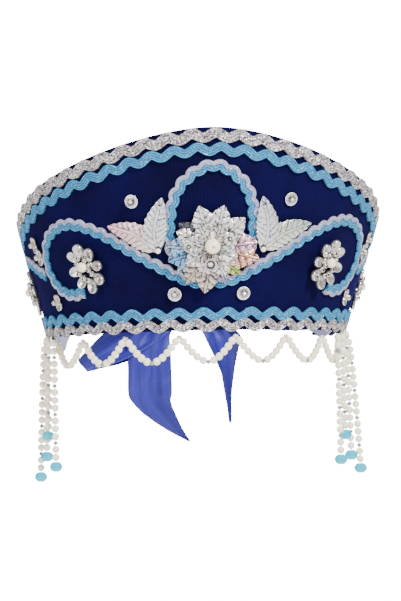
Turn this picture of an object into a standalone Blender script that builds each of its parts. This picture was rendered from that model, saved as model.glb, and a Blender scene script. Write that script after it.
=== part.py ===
# Kokoshnik headdress, in metres. +Z is up and the front faces -Y. The origin is the middle of the
# rim's plane, where the headdress sits on the head. Angles go round the head in degrees from the
# middle of the front, and grow toward +X.

import math

import bmesh
import bpy
from mathutils import Vector


def table(columns, *rows):
    names = columns.split()
    return [dict(zip(names, row)) for row in rows]


# Band
RIM_RADIUS = 0.0848
FRONT_HEIGHT = 0.1075
FLARE = math.radians(15.8)
LEAN = math.radians(2.1)
SIDE_DROP = 0.0020
HALF_WRAP = 120.0
PANEL_WALL = 0.0026
LINING_WALL = 0.0010
LINING_INSET = 0.0015
GAP = 0.0003
PANEL_STEPS = 72
LINING_STEPS = 54

# Height of the top edge as a share of FRONT_HEIGHT
TOP_EDGE = table(
    "angle height",
    (0, 1.000), (11, 0.981), (24, 0.932), (38, 0.866), (52, 0.796), (62, 0.746),
    (71, 0.690), (80, 0.642), (90, 0.587), (105, 0.500), (115, 0.425), (120, 0.370))

# Ric-rac along the edges: the stroke is the braid's own width, the swing is how far it waves
WAVE_LENGTH = 0.0132
WAVE_STEPS = 4
BRAID_WALL = 0.0012
TOP_SILVER_STROKE = 0.0056
TOP_SILVER_SWING = 0.0012
TOP_SILVER_DROP = 0.0040
TOP_BLUE_STROKE = 0.0040
TOP_BLUE_SWING = 0.0013
TOP_BLUE_DROP = 0.0112
TOP_WAVE_START = 0.0071
RIM_BLUE_STROKE = 0.0041
RIM_BLUE_SWING = 0.0014
RIM_BLUE_RISE = 0.0088
RIM_SILVER_STROKE = 0.0050
RIM_SILVER_SWING = 0.0013
RIM_SILVER_RISE = 0.0032
RIM_WAVE_START = -0.0028

# Two-tone braid laid in curves, as angle and share of FRONT_HEIGHT, for the right side
CURVE_BRAID_WIDTH = 0.0060
CURVE_BRAID_STEP = 0.0046
SCROLL = table(
    "angle height",
    (0, 0.247), (5, 0.246), (10, 0.270), (15, 0.311), (20, 0.353), (26, 0.409), (32, 0.470),
    (38, 0.518), (44, 0.553), (50, 0.564), (55.5, 0.544), (60.5, 0.498), (63.5, 0.423),
    (63.7, 0.344), (61.2, 0.274), (57, 0.226), (52, 0.207), (46.5, 0.217))
CENTRE_LOOP = table(
    "angle height",
    (0, 0.817), (2.8, 0.807), (6, 0.777), (9.4, 0.721), (11.6, 0.651), (12.7, 0.577),
    (13.1, 0.502), (12.8, 0.428), (11.5, 0.350))
SIDE_SCROLL = table(
    "angle height",
    (67.2, 0.322), (72.5, 0.352), (78, 0.388), (84, 0.410), (90, 0.403), (96, 0.370),
    (102, 0.328), (105, 0.270), (104, 0.209), (100, 0.172))

# Pieces sewn on the velvet; heights are shares of FRONT_HEIGHT
SEQUIN_WALL = 0.0007
WIDE_BODY = 0.0150
LEAF_WIDTH = 0.0125
LEAF_TIP_WIDTH = 0.0010
LEAF_STEPS = 9
UPPER_LEAF = table("angle height", (17.5, 0.384), (17.3, 0.500), (15.2, 0.658))
LOWER_LEAF = table("angle height", (17.6, 0.386), (24.0, 0.478), (32.8, 0.538))
ROUND_SEQUIN_RADIUS = 0.0040
ROUND_SEQUINS = table("name angle height", ("low", 11.8, 0.182), ("high", 24.2, 0.654))
BUNCH_RADIUS = 0.0142
SIDE_BUNCH_RADIUS = 0.0130
FRONT_BUNCH = {"angle": 44.0, "height": 0.325}
SIDE_BUNCH = {"angle": 91.0, "height": 0.242}
BUNCH_DROPS = 8
TREFOIL_RADIUS = 0.0036
TREFOILS = table(
    "name angle height", ("low", 62.4, 0.180), ("top", 70.2, 0.486), ("middle", 68.0, 0.420))

# Centre flower; a petal's bearing is in degrees from +X and its reach is a share of the radius
FLOWER_ANGLE = 0.2
FLOWER_HEIGHT = 0.415
FLOWER_RADIUS = 0.0240
FLOWER_INNER_RADIUS = 0.0155
BACK_PETALS = table(
    "bearing reach",
    (6, 1.02), (44, 0.90), (77, 0.90), (106, 0.93), (139, 0.90), (170, 0.98),
    (196, 0.92), (230, 0.92), (260, 1.00), (288, 0.86), (318, 0.94), (345, 1.10))
FRONT_PETAL_COUNT = 8
FLOWER_PEARL_RADIUS = 0.0049
CUP_RADIUS = 0.0034
CUPS = table("bearing reach", (31, 0.69), (99, 0.76), (173, 0.78), (259, 0.66))

# Pearl strings
PEARL_RADIUS = 0.0020
FRINGE_PITCH = 21.5
FRINGE_SWAGS = 7
FRINGE_SAG = 0.0145
FRINGE_STEPS = 6
FRINGE_SEAT = -0.0019
DROP_RADIUS = 0.0037
DROP_HEIGHT = 0.0056
DROP_SIDES = 10
DROP_SHAPE = table("size down", (0.45, 0.0), (1.0, 0.32), (1.0, 0.68), (0.45, 1.0))
PENDANT_LENGTH = 0.0730
PENDANT_SHARES = (0.0, 0.12, 0.3, 0.6, 1.0)
# length is a share of PENDANT_LENGTH, out is how far the foot swings out, in pearl radii
PENDANTS = table(
    "side angle length out",
    ("left", -71.5, 0.94, 0.1), ("left", -77.0, 0.70, 0.9), ("left", -82.2, 0.89, 0.6),
    ("left", -88.2, 1.02, 2.0),
    ("right", 62.0, 0.93, 0.1), ("right", 67.4, 0.74, 0.3), ("right", 74.2, 0.93, 0.8),
    ("right", 84.4, 1.01, 3.0))

# Ribbons and bow at the back
RIBBON_WIDTH = 0.0270
RIBBON_WALL = 0.0010
TIE_START = 114.0
TIE_STEPS = 12
LEFT_TIE_HEIGHT = 0.0200
RIGHT_TIE_HEIGHT = 0.0155
KNOT_WIDTH = 0.0140
KNOT_DEPTH = 0.0120
KNOT_HEIGHT = 0.0170
KNOT_RISE = 0.0220
KNOT_BACK = 0.0050
KNOT_SIDES = 12
KNOT_SHAPE = table("up size", (-0.5, 0.55), (-0.36, 0.9), (0.0, 1.0), (0.36, 0.9), (0.5, 0.55))
TIE_PINCH = 0.55
LEFT_TAIL_DROP = 0.0749
RIGHT_TAIL_DROP = 0.0640
# across and width are shares of RIBBON_WIDTH, down of the tail's drop, turn is in degrees
LEFT_TAIL = table(
    "across down width turn",
    (-0.16, 0.00, 0.26, 0), (-0.52, 0.06, 0.62, 4), (-0.80, 0.14, 0.88, 6),
    (-0.86, 0.25, 1.02, 6), (-0.86, 0.42, 1.06, 4), (-0.86, 0.60, 1.05, 0),
    (-0.83, 0.68, 0.88, -4), (-0.62, 0.79, 0.69, -8), (-0.33, 0.90, 0.39, -12),
    (0.01, 1.00, 0.04, -14))
RIGHT_TAIL = table(
    "across down width turn",
    (0.16, 0.00, 0.26, 0), (0.55, 0.07, 0.66, 4), (0.81, 0.17, 0.92, 15),
    (0.87, 0.31, 0.92, 40), (0.90, 0.45, 0.85, 55), (0.93, 0.61, 0.70, 64),
    (0.935, 0.81, 0.42, 70), (0.96, 1.00, 0.06, 70))
# out is a share of the loop's reach, back and width are shares of RIBBON_WIDTH
LOOP_REACH = 0.0660
LEFT_LOOP_DROOP = math.radians(31)
RIGHT_LOOP_DROOP = math.radians(-14)
BOW_LOOP = table(
    "out back width",
    (0.00, 0.20, 0.44), (0.22, 0.34, 0.74), (0.50, 0.42, 0.94), (0.78, 0.38, 1.00),
    (0.95, 0.27, 1.00), (1.00, 0.15, 1.00), (0.93, 0.06, 1.00), (0.72, 0.02, 0.98),
    (0.45, 0.02, 0.92), (0.20, 0.04, 0.72), (0.00, 0.06, 0.44))

BRAID_TOP = GAP + BRAID_WALL
LEAF_SEAT = BRAID_TOP + GAP
UPPER_LEAF_SEAT = LEAF_SEAT + SEQUIN_WALL + GAP
FLOWER_SEAT = UPPER_LEAF_SEAT + SEQUIN_WALL + GAP
INNER_FLOWER_SEAT = FLOWER_SEAT + SEQUIN_WALL + GAP
FLOWER_TOP = INNER_FLOWER_SEAT + SEQUIN_WALL + GAP
PENDANT_SEAT = FRINGE_SEAT + 2 * PEARL_RADIUS + GAP
TIE_SEAT = -(PANEL_WALL + LINING_WALL + RIBBON_WALL / 2 + 2 * GAP)


def clear_objects():
    for item in list(bpy.data.objects):
        bpy.data.objects.remove(item, do_unlink=True)


def make_material(name, colour, roughness, metallic=0.0):
    material = bpy.data.materials.new(name)
    material.use_nodes = True
    shader = material.node_tree.nodes["Principled BSDF"]
    shader.inputs["Base Color"].default_value = (*colour, 1.0)
    shader.inputs["Roughness"].default_value = roughness
    shader.inputs["Metallic"].default_value = metallic
    return material


# A smooth curve read through the rows of a table

def smooth_value(rows, key, value, at):
    """Value at a place between rows, with slopes taken from the neighbouring rows."""
    last = len(rows) - 1
    at = min(max(at, rows[0][key]), rows[last][key])
    first = 0
    while first < last - 1 and rows[first + 1][key] < at:
        first += 1

    def slope(index):
        low = max(index - 1, 0)
        high = min(index + 1, last)
        return (rows[high][value] - rows[low][value]) / (rows[high][key] - rows[low][key])

    start, end = rows[first], rows[first + 1]
    span = end[key] - start[key]
    share = (at - start[key]) / span
    slope_start = 0.0 if first == 0 and start[key] == 0 else slope(first)
    square, cube = share ** 2, share ** 3
    return ((2 * cube - 3 * square + 1) * start[value]
            + (cube - 2 * square + share) * span * slope_start
            + (3 * square - 2 * cube) * end[value]
            + (cube - square) * span * slope(first + 1))


def smooth_route(points, step):
    """Points about one step apart on a smooth curve through the given points."""
    padded = [points[0] * 2 - points[1]] + points + [points[-1] * 2 - points[-2]]
    dense = []
    for index in range(1, len(padded) - 2):
        before, start, end, after = padded[index - 1:index + 3]
        for part in range(16):
            t = part / 16
            dense.append(0.5 * (2 * start + (end - before) * t
                                + (2 * before - 5 * start + 4 * end - after) * t ** 2
                                + (3 * start - before - 3 * end + after) * t ** 3))
    dense.append(points[-1])
    lengths = [0.0]
    for before, after in zip(dense, dense[1:]):
        lengths.append(lengths[-1] + (after - before).length)
    count = max(2, round(lengths[-1] / step))
    route = []
    place = 0
    for index in range(count + 1):
        target = lengths[-1] * index / count
        while place < len(lengths) - 2 and lengths[place + 1] < target:
            place += 1
        span = lengths[place + 1] - lengths[place]
        route.append(dense[place].lerp(dense[place + 1], (target - lengths[place]) / span))
    return route


# The flared wall

def on_wall(angle, height, off):
    """Point on the flared wall, moved off the velvet's outer face."""
    turn = math.radians(angle)
    radius = RIM_RADIUS + height * math.tan(FLARE) + off * math.cos(FLARE)
    level = height - off * math.sin(FLARE)
    return Vector((radius * math.sin(turn) + level * math.tan(LEAN), -radius * math.cos(turn), level))


def wall_normal(angle):
    turn = math.radians(angle)
    return Vector((math.cos(FLARE) * math.sin(turn), -math.cos(FLARE) * math.cos(turn),
                   -math.sin(FLARE)))


def wall_radius(height):
    return RIM_RADIUS + height * math.tan(FLARE)


def beside(angle, height, across, up):
    """Angle and height of a place a little across and up from another one."""
    return angle + math.degrees(across / wall_radius(height)), height + up


def top_edge(angle):
    share = smooth_value(TOP_EDGE, "angle", "height", abs(angle))
    return share * FRONT_HEIGHT - SIDE_DROP * math.sin(math.radians(angle))


# Solids

def add_solid(name, mesh_data, material, smooth):
    mesh = bpy.data.meshes.new(name)
    bmesh.ops.recalc_face_normals(mesh_data, faces=mesh_data.faces)
    mesh_data.to_mesh(mesh)
    mesh_data.free()
    if smooth:
        mesh.shade_smooth()
        mesh.set_sharp_from_angle(angle=math.radians(40))
    mesh.materials.append(material)
    item = bpy.data.objects.new(name, mesh)
    bpy.context.collection.objects.link(item)
    return item


def add_rings(name, rings, material, smooth=False, tips=None):
    """Solid through a row of rings with the same number of points, closed flat or to two tips."""
    mesh_data = bmesh.new()
    made = [[mesh_data.verts.new(point) for point in ring] for ring in rings]
    count = len(made[0])
    for lower, upper in zip(made, made[1:]):
        for index in range(count):
            after = (index + 1) % count
            mesh_data.faces.new((lower[index], lower[after], upper[after], upper[index]))
    for ring, tip in zip((made[0], made[-1]), tips or (None, None)):
        if tip is None:
            mesh_data.faces.new(ring)
            continue
        centre = mesh_data.verts.new(tip)
        for index in range(count):
            mesh_data.faces.new((ring[index], ring[(index + 1) % count], centre))
    return add_solid(name, mesh_data, material, smooth)


def add_wall_strip(name, angles, low, high, seat, wall, material):
    """Strip on the flared wall between two heights, each a list with a height for each angle."""
    rings = []
    for angle, bottom, top in zip(angles, low, high):
        rings.append([on_wall(angle, bottom, seat), on_wall(angle, top, seat),
                      on_wall(angle, top, seat + wall), on_wall(angle, bottom, seat + wall)])
    return add_rings(name, rings, material)


def add_laid_strip(name, route, widths, seat, wall, material):
    """Flat strip laid on the wall along a route of angle and height vectors."""
    rings = []
    for index, place in enumerate(route):
        before = route[max(index - 1, 0)]
        after = route[min(index + 1, len(route) - 1)]
        centre = on_wall(place.x, place.y, seat)
        run = on_wall(after.x, after.y, seat) - on_wall(before.x, before.y, seat)
        normal = wall_normal(place.x)
        side = normal.cross(run).normalized() * widths[index] / 2
        rings.append([centre - side, centre + side, centre + side + normal * wall,
                      centre - side + normal * wall])
    return add_rings(name, rings, material)


def add_ribbon(name, centres, sides, normals, material):
    rings = []
    for centre, side, normal in zip(centres, sides, normals):
        depth = normal.normalized() * RIBBON_WALL / 2
        rings.append([centre - side - depth, centre + side - depth,
                      centre + side + depth, centre - side + depth])
    return add_rings(name, rings, material, smooth=True)


def add_sewn_body(name, angle, height, outline, rows, material):
    """Body on the wall: each row scales the outline, and off is its distance off the velvet."""
    widest = max(math.hypot(*point) for point in outline)
    if widest > WIDE_BODY:
        # a wide body gets one more ring on each face, so that its faces follow the curved wall
        rows = [dict(rows[0], size=rows[0]["size"] / 2)] + rows + [dict(rows[-1], size=rows[-1]["size"] / 2)]
    rings = []
    for row in rows:
        ring = []
        for across, up in outline:
            place = beside(angle, height, across * row["size"], up * row["size"])
            ring.append(on_wall(*place, row["off"]))
        rings.append(ring)
    tips = [on_wall(angle, height, row["off"]) for row in (rows[0], rows[-1])]
    return add_rings(name, rings, material, smooth=True, tips=tips)


def lobed_outline(radius, lobes, depth, points_per_lobe, start=90.0):
    count = lobes * points_per_lobe
    outline = []
    for index in range(count):
        turn = 2 * math.pi * (index + 0.5) / count
        reach = radius * (1 - depth * (0.5 - 0.5 * math.cos(lobes * turn)))
        bearing = math.radians(start) + turn
        outline.append((reach * math.cos(bearing), reach * math.sin(bearing)))
    return outline


def round_outline(radius, sides=12):
    return lobed_outline(radius, 1, 0.0, sides)


def pointed_outline(radius, petals, valley):
    """Star of leaf-shaped petals: a valley, two shoulders and a tip for each petal."""
    outline = []
    for index, petal in enumerate(petals):
        after = petals[(index + 1) % len(petals)]
        spread = (after["bearing"] - petal["bearing"]) % 360
        before = petals[index - 1]
        back_spread = (petal["bearing"] - before["bearing"]) % 360
        steps = ((-0.22 * back_spread, 0.88 * petal["reach"]), (0.0, petal["reach"]),
                 (0.22 * spread, 0.88 * petal["reach"]), (0.5 * spread, valley))
        for turn, reach in steps:
            bearing = math.radians(petal["bearing"] + turn)
            outline.append((radius * reach * math.cos(bearing), radius * reach * math.sin(bearing)))
    return outline


def flat_rows(seat, wall):
    return [{"size": 1.0, "off": seat}, {"size": 1.0, "off": seat + wall}]


# Band and edge braids

def add_band(velvet, lining):
    angles = [HALF_WRAP * (2 * step / PANEL_STEPS - 1) for step in range(PANEL_STEPS + 1)]
    add_wall_strip("crown_panel", angles, [0.0] * len(angles), [top_edge(angle) for angle in angles],
                   -PANEL_WALL, PANEL_WALL, velvet)
    reach = HALF_WRAP - math.degrees(LINING_INSET / RIM_RADIUS)
    angles = [reach * (2 * step / LINING_STEPS - 1) for step in range(LINING_STEPS + 1)]
    add_wall_strip("lining", angles, [LINING_INSET] * len(angles),
                   [top_edge(angle) - LINING_INSET for angle in angles],
                   -PANEL_WALL - GAP - LINING_WALL, LINING_WALL, lining)


def edge_stations(edge, start):
    """Angles and distances along an edge, a quarter wave apart, from one end of the band to the other."""
    step = WAVE_LENGTH / WAVE_STEPS
    stations = []
    for way in (-1, 1):
        angle = 0.0
        gone = 0.0
        target = (start + step / 2) % step if way == 1 else (-start - step / 2) % step
        if target == 0.0 and way == -1:
            target = step
        turn = 0.1
        here = on_wall(0.0, edge(0.0), 0.0)
        while abs(angle) + turn < HALF_WRAP:
            angle += way * turn
            there = on_wall(angle, edge(angle), 0.0)
            gone += (there - here).length
            here = there
            if gone >= target:
                stations.append((angle, way * gone))
                target += step
    stations.sort()
    return stations


def wave_height(distance, crest, swing):
    """Height of a braid that waves, for stations an eighth of a wave either side of its crests."""
    height = math.cos(2 * math.pi * (distance - crest) / WAVE_LENGTH) * math.sqrt(2)
    return swing * min(max(height, -1.0), 1.0)


def add_top_braids(silver, blue):
    stations = edge_stations(top_edge, TOP_WAVE_START)
    angles = [angle for angle, distance in stations]
    silver_high, silver_low, blue_high, blue_low = [], [], [], []
    for angle, distance in stations:
        edge = top_edge(angle)
        wave = wave_height(distance, TOP_WAVE_START - WAVE_LENGTH / 2, TOP_SILVER_SWING)
        middle = edge - TOP_SILVER_DROP + wave
        silver_high.append(middle + TOP_SILVER_STROKE / 2)
        silver_low.append(middle - TOP_SILVER_STROKE / 2)
        wave = wave_height(distance, TOP_WAVE_START - WAVE_LENGTH / 4, TOP_BLUE_SWING)
        middle = edge - TOP_BLUE_DROP + wave
        blue_high.append(min(middle + TOP_BLUE_STROKE / 2, silver_low[-1] - GAP))
        blue_low.append(middle - TOP_BLUE_STROKE / 2)
    add_wall_strip("braid_top_silver", angles, silver_low, silver_high, GAP, BRAID_WALL, silver)
    add_wall_strip("braid_top_blue", angles, blue_low, blue_high, GAP, BRAID_WALL, blue)


def add_rim_braids(silver, blue):
    stations = edge_stations(lambda angle: RIM_BLUE_RISE, RIM_WAVE_START)
    angles = [angle for angle, distance in stations]
    silver_high, silver_low, blue_high, blue_low = [], [], [], []
    for angle, distance in stations:
        wave = wave_height(distance, RIM_WAVE_START, RIM_BLUE_SWING)
        middle = RIM_BLUE_RISE + wave
        blue_high.append(middle + RIM_BLUE_STROKE / 2)
        blue_low.append(middle - RIM_BLUE_STROKE / 2)
        wave = wave_height(distance, RIM_WAVE_START - WAVE_LENGTH / 4, RIM_SILVER_SWING)
        middle = RIM_SILVER_RISE + wave
        silver_high.append(min(middle + RIM_SILVER_STROKE / 2, blue_low[-1] - GAP))
        silver_low.append(middle - RIM_SILVER_STROKE / 2)
    add_wall_strip("braid_rim_blue", angles, blue_low, blue_high, GAP, BRAID_WALL, blue)
    add_wall_strip("braid_rim_silver", angles, silver_low, silver_high, GAP, BRAID_WALL, silver)


# Curved braids and leaves: a route is worked out in millimetres of arc, then read as angle and height

def wall_route(rows, step, side=1):
    scale = math.radians(1) * wall_radius(FRONT_HEIGHT / 2)
    points = [Vector((side * row["angle"] * scale, row["height"] * FRONT_HEIGHT)) for row in rows]
    return [Vector((point.x / scale, point.y)) for point in smooth_route(points, step)]


def mirrored(rows):
    """Rows of a curve that crosses the middle, from the left end to the right end."""
    left = [{"angle": -row["angle"], "height": row["height"]} for row in reversed(rows[1:])]
    return left + rows


def add_curve_braids(braid):
    routes = {
        "scroll_braid": wall_route(mirrored(SCROLL), CURVE_BRAID_STEP),
        "centre_loop_braid": wall_route(mirrored(CENTRE_LOOP), CURVE_BRAID_STEP),
        "side_scroll_left": wall_route(SIDE_SCROLL, CURVE_BRAID_STEP, -1),
        "side_scroll_right": wall_route(SIDE_SCROLL, CURVE_BRAID_STEP),
    }
    for name, route in routes.items():
        add_laid_strip(name, route, [CURVE_BRAID_WIDTH] * len(route), GAP, BRAID_WALL, braid)


def add_leaves(silver):
    for side, word in ((-1, "left"), (1, "right")):
        for name, rows, seat in (("lower_leaf", LOWER_LEAF, LEAF_SEAT),
                                 ("upper_leaf", UPPER_LEAF, UPPER_LEAF_SEAT)):
            ends = wall_route(rows, 1.0, side)
            length = (on_wall(*ends[0], seat) - on_wall(*ends[-1], seat)).length
            route = wall_route(rows, length / LEAF_STEPS, side)
            widths = []
            for index in range(len(route)):
                share = index / (len(route) - 1)
                swell = math.sin(math.pi * (0.12 + 0.88 * share) ** 0.85)
                widths.append(LEAF_TIP_WIDTH + (LEAF_WIDTH - LEAF_TIP_WIDTH) * abs(swell))
            add_laid_strip(f"{name}_{word}", route, widths, seat, SEQUIN_WALL, silver)


def add_sequins(silver):
    dish = [{"size": 0.55, "off": GAP}, {"size": 1.0, "off": GAP + SEQUIN_WALL},
            {"size": 1.0, "off": GAP + 2 * SEQUIN_WALL}, {"size": 0.45, "off": GAP + 1.2 * SEQUIN_WALL}]
    for side, word in ((-1, "left"), (1, "right")):
        for row in ROUND_SEQUINS:
            add_sewn_body(f"round_sequin_{row['name']}_{word}", side * row["angle"],
                          row["height"] * FRONT_HEIGHT, round_outline(ROUND_SEQUIN_RADIUS),
                          dish, silver)
        for row in TREFOILS:
            rows = [{"size": 0.8, "off": GAP}, {"size": 1.0, "off": GAP + 0.3 * TREFOIL_RADIUS},
                    {"size": 0.5, "off": GAP + 0.7 * TREFOIL_RADIUS}]
            add_sewn_body(f"trefoil_{row['name']}_{word}", side * row["angle"],
                          row["height"] * FRONT_HEIGHT,
                          lobed_outline(TREFOIL_RADIUS, 3, 0.35, 4, 90.0 + 20 * side), rows, silver)


def add_bunches(silver):
    def rows(radius, seat):
        shape = table("size rise", (0.80, 0.0), (1.0, 0.08), (0.84, 0.24), (0.46, 0.30), (0.22, 0.52))
        return [{"size": row["size"], "off": seat + row["rise"] * radius} for row in shape]

    for side, word in ((-1, "left"), (1, "right")):
        for name, place, radius, seat in (
                ("bead_bunch_front", FRONT_BUNCH, BUNCH_RADIUS, LEAF_SEAT),
                ("bead_bunch_side", SIDE_BUNCH, SIDE_BUNCH_RADIUS, GAP)):
            add_sewn_body(f"{name}_{word}", side * place["angle"], place["height"] * FRONT_HEIGHT,
                          lobed_outline(radius, BUNCH_DROPS, 0.22, 3), rows(radius, seat), silver)


def add_flower(silver, pearl):
    height = FLOWER_HEIGHT * FRONT_HEIGHT
    add_sewn_body("flower_back_petals", FLOWER_ANGLE, height,
                  pointed_outline(FLOWER_RADIUS, BACK_PETALS, 0.66),
                  flat_rows(FLOWER_SEAT, SEQUIN_WALL), silver)
    petals = [{"bearing": 360 * index / FRONT_PETAL_COUNT + 22, "reach": 1.0}
              for index in range(FRONT_PETAL_COUNT)]
    add_sewn_body("flower_front_petals", FLOWER_ANGLE, height,
                  pointed_outline(FLOWER_INNER_RADIUS, petals, 0.72),
                  flat_rows(INNER_FLOWER_SEAT, SEQUIN_WALL), silver)
    ball = table("size rise", (0.50, 0.0), (0.92, 0.46), (1.0, 0.86), (0.87, 1.36), (0.50, 1.72))
    rows = [{"size": row["size"], "off": FLOWER_TOP + row["rise"] * FLOWER_PEARL_RADIUS}
            for row in ball]
    add_sewn_body("flower_pearl", FLOWER_ANGLE, height, round_outline(FLOWER_PEARL_RADIUS), rows,
                  pearl)
    dish = [{"size": 0.5, "off": FLOWER_TOP}, {"size": 1.0, "off": FLOWER_TOP + 0.35 * CUP_RADIUS},
            {"size": 1.0, "off": FLOWER_TOP + 0.6 * CUP_RADIUS},
            {"size": 0.4, "off": FLOWER_TOP + 0.3 * CUP_RADIUS}]
    for index, cup in enumerate(CUPS):
        bearing = math.radians(cup["bearing"])
        reach = cup["reach"] * FLOWER_INNER_RADIUS
        place = beside(FLOWER_ANGLE, height, reach * math.cos(bearing), reach * math.sin(bearing))
        add_sewn_body(f"flower_cup_{index + 1}", *place, round_outline(CUP_RADIUS), dish, silver)


# Pearl strings

def add_string(name, points, material):
    curve = bpy.data.curves.new(name, "CURVE")
    curve.dimensions = "3D"
    curve.bevel_depth = PEARL_RADIUS
    curve.bevel_resolution = 2
    curve.use_fill_caps = True
    spline = curve.splines.new("POLY")
    spline.points.add(len(points) - 1)
    for target, point in zip(spline.points, points):
        target.co = (*point, 1.0)
    curve.materials.append(material)
    item = bpy.data.objects.new(name, curve)
    bpy.context.collection.objects.link(item)
    return item


def add_fringe(pearl):
    seat = -GAP - PEARL_RADIUS
    points = []
    count = FRINGE_SWAGS * FRINGE_STEPS
    for index in range(count + 1):
        angle = FRINGE_PITCH * (index / FRINGE_STEPS - FRINGE_SWAGS / 2)
        share = (index % FRINGE_STEPS) / FRINGE_STEPS
        sag = FRINGE_SAG * (1 - (2 * share - 1) ** 2)
        rim = on_wall(angle, 0.0, FRINGE_SEAT)
        points.append(Vector((rim.x, rim.y, seat - sag)))
    add_string("fringe_string", points, pearl)


def rim_low(angle):
    """Lowest point of the silver rim braid over the width of a pearl string at an angle."""
    distance = math.radians(angle) * wall_radius(RIM_BLUE_RISE)
    crest = RIM_WAVE_START - WAVE_LENGTH / 4
    waves = [wave_height(distance + side * PEARL_RADIUS, crest, RIM_SILVER_SWING) for side in (-1, 0, 1)]
    return RIM_SILVER_RISE + min(waves) - RIM_SILVER_STROKE / 2 - BRAID_TOP * math.sin(FLARE)


def add_pendants(pearl, aqua):
    counts = {"left": 0, "right": 0}
    for row in PENDANTS:
        counts[row["side"]] += 1
        label = f"{row['side']}_{counts[row['side']]}"
        turn = math.radians(row["angle"])
        outward = Vector((math.sin(turn), -math.cos(turn), 0.0))
        head = on_wall(row["angle"], 0.0, PENDANT_SEAT)
        head.z = rim_low(row["angle"]) - GAP
        length = row["length"] * PENDANT_LENGTH
        swing = row["out"] * PEARL_RADIUS
        points = []
        for share in PENDANT_SHARES:
            points.append(head + outward * swing * share ** 0.6 - Vector((0, 0, length * share)))
        add_string(f"pendant_{label}", points, pearl)
        foot = points[-1] - Vector((0, 0, GAP))
        rings = []
        for row_ring in DROP_SHAPE:
            reach = row_ring["size"] * DROP_RADIUS
            ring = []
            for side in range(DROP_SIDES):
                around = 2 * math.pi * side / DROP_SIDES
                ring.append(foot + Vector((math.cos(around) * reach, math.sin(around) * reach,
                                           -row_ring["down"] * DROP_HEIGHT)))
            rings.append(ring)
        add_rings(f"pendant_drop_{label}", rings, aqua)


# Ribbons

def knot_centre():
    return Vector((KNOT_RISE * math.tan(LEAN), RIM_RADIUS + KNOT_BACK, KNOT_RISE))


def knot_half_width(up, back):
    """Half the knot's width at a height and a depth from its middle."""
    rows = [row for row in KNOT_SHAPE if row["up"] >= 0]
    share = min(abs(up) / KNOT_HEIGHT, rows[-1]["up"])
    for low, high in zip(rows, rows[1:]):
        if low["up"] <= share <= high["up"]:
            part = (share - low["up"]) / (high["up"] - low["up"])
            size = low["size"] + part * (high["size"] - low["size"])
    depth = min(abs(back) / (size * KNOT_DEPTH / 2), 1.0)
    return size * KNOT_WIDTH / 2 * math.sqrt(1 - depth ** 2)


def add_ties(satin):
    knot = knot_centre()
    tie_radius = wall_radius(knot.z) + TIE_SEAT * math.cos(FLARE) + RIBBON_WALL / 2
    reach = knot_half_width(0.0, knot.y - tie_radius) + GAP
    end = math.degrees(math.asin(reach / tie_radius))
    for side, word, rise in ((-1, "left", LEFT_TIE_HEIGHT), (1, "right", RIGHT_TIE_HEIGHT)):
        centres, sides, normals = [], [], []
        for step in range(TIE_STEPS + 1):
            share = step / TIE_STEPS
            angle = TIE_START + (180.0 - end - TIE_START) * share
            free = max(0.0, (angle - HALF_WRAP) / (180.0 - end - HALF_WRAP))
            height = rise + (knot.z - rise) * free ** 2
            width = RIBBON_WIDTH * (1.0 - TIE_PINCH * free ** 3)
            reach = width / 2 * math.cos(FLARE)
            low = on_wall(side * angle, height - reach, TIE_SEAT)
            high = on_wall(side * angle, height + reach, TIE_SEAT)
            centres.append((low + high) / 2)
            sides.append((high - low) / 2)
            normals.append(wall_normal(side * angle))
        add_ribbon(f"ribbon_tie_{word}", centres, sides, normals, satin)


def add_knot(satin):
    knot = knot_centre()
    rings = []
    for row in KNOT_SHAPE:
        ring = []
        for side in range(KNOT_SIDES):
            around = 2 * math.pi * (side + 0.5) / KNOT_SIDES
            ring.append(knot + Vector((math.cos(around) * row["size"] * KNOT_WIDTH / 2,
                                       math.sin(around) * row["size"] * KNOT_DEPTH / 2,
                                       row["up"] * KNOT_HEIGHT)))
        rings.append(ring)
    add_rings("bow_knot", rings, satin, smooth=True)


def add_tails(satin):
    knot = knot_centre()
    for word, rows, drop in (("left", LEFT_TAIL, LEFT_TAIL_DROP), ("right", RIGHT_TAIL, RIGHT_TAIL_DROP)):
        top = knot.z - KNOT_HEIGHT / 2 - GAP
        centres, sides, normals = [], [], []
        for row in rows:
            turn = math.radians(row["turn"])
            centres.append(Vector((knot.x + row["across"] * RIBBON_WIDTH, knot.y - KNOT_DEPTH / 4,
                                   top - row["down"] * drop)))
            width = row["width"] * RIBBON_WIDTH / 2
            sides.append(Vector((math.cos(turn), math.sin(turn), 0.0)) * width)
            normals.append(Vector((math.sin(turn), -math.cos(turn), 0.0)))
        add_ribbon(f"ribbon_tail_{word}", centres, sides, normals, satin)


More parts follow.
